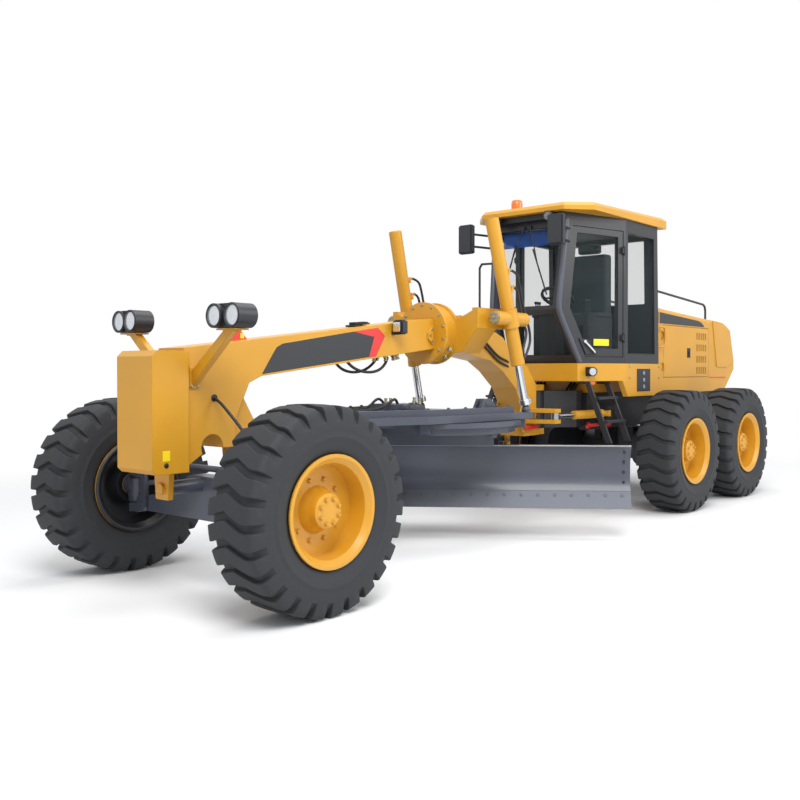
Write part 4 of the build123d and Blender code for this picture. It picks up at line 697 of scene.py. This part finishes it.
# ---------------------------------------------------------------- wheels' inner sides, darkened with painted shade
for wheel_name in WHEELS:
    hub = middle(f"tyre_{wheel_name}")
    out = outward(hub)
    disc = disc_face(wheel_name)
    hub_in = -0.105 if "front" in wheel_name else -0.160
    profile = [(-0.2065, 0.3590), (-0.2068, 0.3320), (-0.1740, 0.2970), (disc - 0.0250, 0.2885),
               (disc - 0.0245, 0.1900), (disc - 0.0545, 0.1525), (hub_in - 0.0020, 0.1320),
               (hub_in - 0.0020, 0.0850)]

    # A thin black shell over each wheel's inner side: painted shade on the back of the rim and its disc.
    def painted_shade_shell(work):
        loops = []
        for number in range(72):
            angle = 2 * math.pi * number / 72
            ripple = 0.0004 * math.cos(angle * 12)
            loops.append([work.verts.new((hub.x + (reach + ripple) * math.cos(angle), hub.y + across * out,
                                          hub.z + (reach + ripple) * math.sin(angle)))
                          for across, reach in profile])
        join_loops(work, loops)
    inner = shape(f"wheel_painted_shade_{wheel_name}", painted_shade_shell, "black", f"wheel_{wheel_name}")
    skin = inner.modifiers.new("thickness", "SOLIDIFY")
    skin.thickness = 0.002
    skin.offset = 0

# ---------------------------------------------------------------- cab
B_PILLAR = -4.854


def cab_skin(station, stand=0.0):
    """How far out the cab's side lies at a station; it draws in towards the front."""
    return 0.700 - 0.302 * max(0.0, station - B_PILLAR) + stand


def skin_film(name, outline, side, stand, thick, finish, body, bevel=0.0):
    """A panel that lies on the cab's slanting side, from (station, Z) points."""
    def build(work):
        add_prism(work, [at(x, cab_skin(x, stand) * side, z) for x, z in outline],
                  Vector((0.289 * thick, 0.957 * thick * side, 0)), bevel)
    shape(name, build, finish, body, smooth=30)


def windscreen(y, z, stand=0.015):
    """A point just ahead of the upper windscreen's frame."""
    return at(-3.942 - 0.125 * (z - 2.164) + stand, y, z)


PILLAR_FOOT = (-4.225, 1.625)
PILLAR_KINK = (-3.942, 2.164)
PILLAR_HEAD = (-4.059, 3.095)
for side, hand in SIDES:
    line = []
    for start, end, shares in ((PILLAR_FOOT, PILLAR_KINK, (0.0, 0.5, 0.93)),
                               (PILLAR_KINK, PILLAR_HEAD, (0.04, 0.5, 1.0))):
        for share in shares:
            x = start[0] + (end[0] - start[0]) * share
            z = start[1] + (end[1] - start[1]) * share
            line.append(at(x - 0.006, cab_skin(x, -0.010) * side, z))
    hose(f"cab_pillar_{hand}", line, 0.030, "rear_body", "slate")
    door = f"cab_door_{hand}"
    skin_film(f"door_latch_plate_{hand}",
              [(-4.205, 1.872), (-4.330, 1.864), (-4.440, 1.705), (-4.295, 1.705)], side, 0.0, 0.008,
              "plastic", door, 0.003)
    upper, lower = [at(x, cab_skin(x, 0.030) * side, z) for x, z in ((-4.262, 1.838), (-4.392, 1.728))]
    to_door = Vector((0.0066, 0.022 * side, 0))
    knob = upper + Vector((0.0022, 0.006 * side, 0))
    rounds(f"door_handle_{hand}", [(upper, lower, 0.011, 20, 0.004), (upper - to_door, upper, 0.008, 16),
                                   (lower - to_door, lower, 0.008, 16),
                                   (upper - to_door, knob, 0.016, 24, 0.003)], "silver", door)
    skin_film(f"window_gasket_{hand}", oblong((-4.910, 1.712), (-5.540, 1.726)), side, -0.004, 0.006,
              "hose", "rear_body", 0.002)
skin_film("door_label", oblong((-4.430, 1.800), (-4.640, 1.870)), 1, -0.0225, 0.002, "label",
          "cab_door_left")


def wiper(name, pivot, tip, reach):
    """A wiper arm on its spindle, with its blade along the glass."""
    def build(work):
        add_round(work, pivot - step(0.020), pivot + step(0.018), 0.018, 20, bevel=0.004)
        add_round(work, pivot + step(0.010), tip + step(0.012), 0.0075, 10, end_radius=0.005)
        across = reach.normalized().cross(step(1)).normalized() * 0.008
        for lift, width in ((0.002, 1.0), (0.009, 0.5)):
            base = tip + step(lift - 0.006)
            add_prism(work, [base - reach - across * width, base - reach + across * width,
                             base + reach + across * width, base + reach - across * width],
                      step(0.007), 0.0015)
    shape(name, build, "hose", "rear_body", smooth=30)


wiper("wiper_upper", windscreen(0.02, 3.040), windscreen(0.175, 2.560), step(0, 0.085, -0.240))
wiper("wiper_upper_right", windscreen(-0.060, 3.040), windscreen(-0.200, 2.640), step(0, -0.070, -0.220))


def visor(work):
    corners = [windscreen(y, z, -0.062)
               for y, z in ((-0.375, 3.015), (0.375, 3.015), (0.360, 2.845), (-0.360, 2.845))]
    add_prism(work, corners, step(-0.003), 0.001)


shape("sun_visor", visor, "visor", "rear_body", smooth=0)


def pad(name, low, high, body, finish="seat", proud=0.012, round_off=0.027, crown=0.012, channels=0):
    """A crowned cushion round a plain block, with rounded edges and sewn channels across it."""
    lo, hi = Vector(low), Vector(high)
    centre, half = (lo + hi) / 2, (hi - lo) / 2 + Vector((proud, proud, proud))
    core = half - Vector((round_off, round_off, round_off))
    thin = min(range(3), key=lambda axis: half[axis])
    long_way = 0 if thin == 2 else 2

    def build(work):
        bmesh.ops.create_cube(work, size=2.0)
        bmesh.ops.subdivide_edges(work, edges=work.edges[:], cuts=23, use_grid_fill=True)
        for vert in work.verts:
            spot = Vector([vert.co[axis] * half[axis] for axis in range(3)])
            inner = Vector([max(-core[axis], min(core[axis], spot[axis])) for axis in range(3)])
            out = spot - inner
            spot = inner + (out.normalized() * round_off if out.length > 1e-9 else out)
            swell = 1.0
            for axis in range(3):
                if axis != thin:
                    swell *= max(0.0, 1 - (spot[axis] / half[axis]) ** 2)
            sign = 1 if spot[thin] > 0 else -1
            if abs(spot[thin]) > core[thin]:
                spot[thin] += sign * crown * swell ** 0.5
                if channels:
                    across = (spot[long_way] / half[long_way] + 1) * channels / 2
                    groove = max(0.0, 1 - abs(across - round(across)) * 14)
                    spot[thin] -= sign * 0.007 * groove * min(1.0, swell * 4)
            vert.co = centre + spot
    obj = shape(name, build, finish, body, smooth=60)


pad("seat_cushion", at(-5.300, -0.260, 2.030), at(-4.800, 0.260, 2.160), "rear_body", channels=4)
pad("seat_back", at(-5.330, -0.250, 2.190), at(-5.210, 0.250, 2.850), "rear_body", channels=5)
pad("seat_headrest", at(-5.335, -0.130, 2.890), at(-5.250, 0.130, 2.990), "rear_body", proud=0.006,
    round_off=0.030)
for side, hand in SIDES:
    y_low, y_high = sorted((0.275 * side, 0.365 * side))
    pad(f"armrest_{hand}", at(-5.150, y_low, 2.140), at(-4.830, y_high, 2.172), "rear_body", "plastic",
        0.006, 0.013, 0.006)

# Mirrors and beacon.
for side, hand in SIDES:
    y_low, y_high = sorted((0.475 * side, 0.640 * side))
    shell_low, shell_high = at(-3.720, y_low, 2.780), at(-3.660, y_high, 3.070)
    blocks(f"mirror_shell_{hand}",
           [(shell_low - step(0.004, 0.008, 0.008), shell_high + step(0.012, 0.008, 0.008), 0.018)],
           "plastic", "rear_body")
    blocks(f"mirror_face_{hand}",
           [((shell_low.x - 0.0065, shell_low.y + 0.010, shell_low.z + 0.010),
             (shell_low.x - 0.0035, shell_high.y - 0.010, shell_high.z - 0.010), 0.001)],
           "chrome", "rear_body")

BEACON = at(-4.250, -0.300, 3.235)


def beacon_shape(work):
    """A ribbed amber dome over the plain lamp."""
    rings = [(0.058, 0.044), (0.060, 0.052), (0.060, 0.120), (0.056, 0.140), (0.044, 0.154), (0.022, 0.161)]
    loops = []
    for number in range(48):
        angle = 2 * math.pi * number / 48
        ripple = 0.0012 if number % 2 else 0.0
        loops.append([work.verts.new(BEACON + Vector(((reach + ripple) * math.cos(angle),
                                                      (reach + ripple) * math.sin(angle), height)))
                      for reach, height in rings])
    join_loops(work, loops)
    work.faces.new([loop[-1] for loop in loops])
    work.faces.new([loop[0] for loop in reversed(loops)])


shape("beacon_dome", beacon_shape, "amber", "rear_body", smooth=50)
rounds("beacon_base", [(BEACON + step(0, 0, -0.001), BEACON + step(0, 0, 0.044), 0.073, 40, 0.006)],
       "hose", "rear_body")

# ---------------------------------------------------------------- cab base, hood and rear frame
HOOD_Y = 0.550
GRAB_PATH = ((-5.880, 0.548, 2.052), (-5.890, 0.592, 2.052), (-5.980, 0.598, 2.052), (-6.020, 0.598, 2.030),
             (-6.024, 0.598, 1.935), (-6.020, 0.598, 1.840), (-5.980, 0.598, 1.818), (-5.890, 0.592, 1.818),
             (-5.880, 0.548, 1.818))
for side, hand in SIDES:
    side_film(f"hood_band_front_{hand}",
              [(-5.705, 2.244), (-5.945, 2.231), (-5.945, 2.098), (-5.705, 2.098)], HOOD_Y, side, "dark",
              "rear_body")
    side_film(f"hood_band_{hand}", [(-5.970, 2.229), (-7.060, 2.172), (-7.150, 2.157), (-7.215, 2.132),
                                    (-7.262, 2.098), (-5.970, 2.098)], HOOD_Y, side, "dark", "rear_body")
    side_film(f"hood_line_{hand}", oblong((-7.420, 1.458), (-7.960, 1.440)), HOOD_Y, side, "red",
              "rear_body")
    hose(f"hood_grab_{hand}", [at(x, y * side, z) for x, y, z in GRAB_PATH], 0.011, "rear_body", "yellow")
    latch = at(-6.783, HOOD_Y * side, 1.760)
    blocks(f"hood_latch_{hand}",
           [(latch + step(-0.045, -0.001 * side, -0.060), latch + step(0.045, 0.006 * side, 0.060), 0.003),
            (latch + step(-0.016, 0.004 * side, -0.040), latch + step(0.016, 0.016 * side, 0.022), 0.004)],
           "plastic", f"hood_door_{hand}")

    # The lock bar for the frame's hinge, stowed on its clips beside the rear frame.
    ends = [at(-4.600, 0.386 * side, 0.948), at(-5.060, 0.386 * side, 0.948)]
    bars = [(*ends, 0.019, 24, 0.003)]
    for eye in ends:
        bars.append((eye - step(0, 0.014), eye + step(0, 0.014), 0.034, 28, 0.003))
    rounds(f"lock_bar_{hand}", bars, "red", "rear_body")

    def front_link(work):
        """The other half of the lock, on its pin at the front frame's foot."""
        start, end = at(-3.705, 0.178 * side, 0.960), at(-3.940, 0.178 * side, 0.952)
        add_block(work, start - step(0, 0.010, 0.022),
                  Vector((end.x, start.y + 0.010, start.z + 0.022)), 0.005)
        add_round(work, at(-3.705, 0.150 * side, 0.960), at(-3.705, 0.200 * side, 0.960), 0.016, 24,
                  bevel=0.003)
    shape(f"lock_link_{hand}", front_link, "red", "front_body")
    for number, (reach, rise) in enumerate(((0.170, 0.0), (0.215, 0.045), (0.260, 0.0))):
        hose(f"frame_hose_{hand}_{number}",
             [at(-4.640, reach * side, 1.420), at(-4.560, reach * side, 1.375),
              at(-4.470, reach * side, 1.275), at(-4.440, reach * side, 1.180),
              at(-4.470, reach * side, 1.090 + rise), at(-4.560, reach * side, 1.045 + rise),
              at(-4.700, reach * side, 1.035 + rise)], 0.014, "rear_body")
    spots = [(at(x, 0.708 * side, z), (0, side, 0)) for x in (-4.930, -5.630) for z in (1.460, 1.580)]
    hex_heads(f"base_bolts_{hand}", spots, "zinc", "rear_body", 0.010, 0.008)

    # Raised studs along the two steps.
    studs = []
    for step_y, step_z in ((0.655, 1.240), (0.745, 1.000)):
        for row in range(2):
            for number in range(9):
                spot = at(-4.285 - 0.040 * number, (step_y + 0.020 + 0.030 * row) * side, step_z + 0.024)
                studs.append((spot, spot + step(0, 0, 0.005), 0.008, 12, 0.0, 0.005))
    rounds(f"step_studs_{hand}", studs, "black", "rear_body", smooth=30)

PANEL_Y = 0.707


def service_panel(work):
    add_prism(work, [at(x, PANEL_Y, z) for x, z in oblong((-5.095, 1.558), (-5.410, 1.310))],
              Vector((0, 0.006, 0)), 0.003)


shape("service_panel", service_panel, "plastic", "rear_body")
dials = []
for x, z in ((-5.250, 1.510), (-5.250, 1.435), (-5.250, 1.360)):
    dials.append((at(x, PANEL_Y + 0.005, z), at(x, PANEL_Y + 0.012, z), 0.024, 28, 0.002))
    dials.append((at(x, PANEL_Y + 0.011, z), at(x, PANEL_Y + 0.016, z), 0.009, 16, 0.001))
rounds("panel_dials", dials, "pale", "rear_body")


# ---------------------------------------------------------------- camera, light and floor
def place_camera():
    """The photograph's view: where the camera stood, how it turned, and its lens."""
    yaw, pitch = 3.8246, -0.0127
    forward = Vector((math.cos(yaw) * math.cos(pitch), math.sin(yaw) * math.cos(pitch), math.sin(pitch)))
    right = Vector((math.sin(yaw), -math.cos(yaw), 0))
    upward = right.cross(forward)
    data = bpy.data.cameras.new("camera")
    data.sensor_width = 36
    data.lens = 40.563
    data.shift_x = -0.0588
    data.shift_y = -0.0218
    data.clip_end = 200
    camera = bpy.data.objects.new("camera", data)
    turn = Matrix((right, upward, -forward)).transposed().to_4x4()
    camera.matrix_world = Matrix.Translation(at(3.868, 5.3225, 1.5325)) @ turn
    bpy.context.scene.collection.objects.link(camera)
    bpy.context.scene.camera = camera


def light(name, place, target, size, power):
    data = bpy.data.lights.new(name, "AREA")
    data.shape = "DISK"
    data.size = size
    data.energy = power
    lamp = bpy.data.objects.new(name, data)
    lamp.location = place
    lamp.rotation_euler = (Vector(target) - Vector(place)).to_track_quat("-Z", "Y").to_euler()
    bpy.context.scene.collection.objects.link(lamp)


def maths(nodes, links, operation, one, two):
    """The result of a sum on two values."""
    made = nodes.new("ShaderNodeMath")
    made.operation = operation
    links.new(one, made.inputs[0])
    links.new(two, made.inputs[1])
    return made.outputs[0]


def mixed(nodes, links, share, one, two):
    """A mix of two shaders."""
    mix = nodes.new("ShaderNodeMixShader")
    links.new(share, mix.inputs["Fac"])
    links.new(one, mix.inputs[1])
    links.new(two, mix.inputs[2])
    return mix.outputs["Shader"]


def make_world():
    """Plain for the light that falls on things, white for what the camera, gloss and glass see."""
    world = bpy.data.worlds.new("studio")
    world.use_nodes = True
    bpy.context.scene.world = world
    nodes = world.node_tree.nodes
    links = world.node_tree.links
    plain = nodes["Background"]
    plain.inputs["Color"].default_value = (0.92, 0.96, 1.0, 1)
    plain.inputs["Strength"].default_value = 0.50
    bright = nodes.new("ShaderNodeBackground")
    bright.inputs["Color"].default_value = (1, 1, 1, 1)
    bright.inputs["Strength"].default_value = 1.0
    ray = nodes.new("ShaderNodeLightPath").outputs
    seen = maths(nodes, links, "MAXIMUM", ray["Is Camera Ray"], ray["Is Glossy Ray"])
    seen = maths(nodes, links, "MAXIMUM", seen, ray["Is Transmission Ray"])
    both = mixed(nodes, links, seen, plain.outputs[0], bright.outputs[0])
    links.new(both, nodes["World Output"].inputs["Surface"])


def make_floor():
    """A pale floor that fades into the white behind it away from the machine."""
    mesh = bpy.data.meshes.new("floor")
    reach = 60
    mesh.from_pydata([(-reach, -reach, 0), (reach, -reach, 0), (reach, reach, 0), (-reach, reach, 0)], [],
                     [(0, 1, 2, 3)])
    floor = bpy.data.objects.new("floor", mesh)
    bpy.context.scene.collection.objects.link(floor)
    mat, nodes, links, shader = blank("floor_white")
    shader.inputs["Base Color"].default_value = (0.93, 0.93, 0.93, 1)
    shader.inputs["Roughness"].default_value = 0.8
    glow = nodes.new("ShaderNodeEmission")
    glow.inputs["Color"].default_value = (1, 1, 1, 1)
    far = nodes.new("ShaderNodeVectorMath")
    far.operation = "LENGTH"
    links.new(nodes.new("ShaderNodeNewGeometry").outputs["Position"], far.inputs[0])
    fade = nodes.new("ShaderNodeMapRange")
    fade.inputs["From Min"].default_value = 4.0
    fade.inputs["From Max"].default_value = 9.0
    fade.interpolation_type = "SMOOTHSTEP"
    links.new(far.outputs["Value"], fade.inputs["Value"])
    ray = nodes.new("ShaderNodeLightPath").outputs
    seen = maths(nodes, links, "MULTIPLY", fade.outputs["Result"], ray["Is Camera Ray"])
    both = mixed(nodes, links, seen, shader.outputs[0], glow.outputs[0])
    links.new(both, nodes["Material Output"].inputs["Surface"])
    mesh.materials.append(mat)


place_camera()
make_world()
make_floor()
light("key", (7.0, 6.0, 9.0), (0, 0, 1), 6.0, 950)
light("fill", (-4.0, 9.0, 6.0), (-1, 0, 1), 6.0, 420)
light("top", (0.0, 0.0, 11.0), (0, 0, 0), 8.0, 500)
bpy.context.scene.view_settings.view_transform = "Standard"
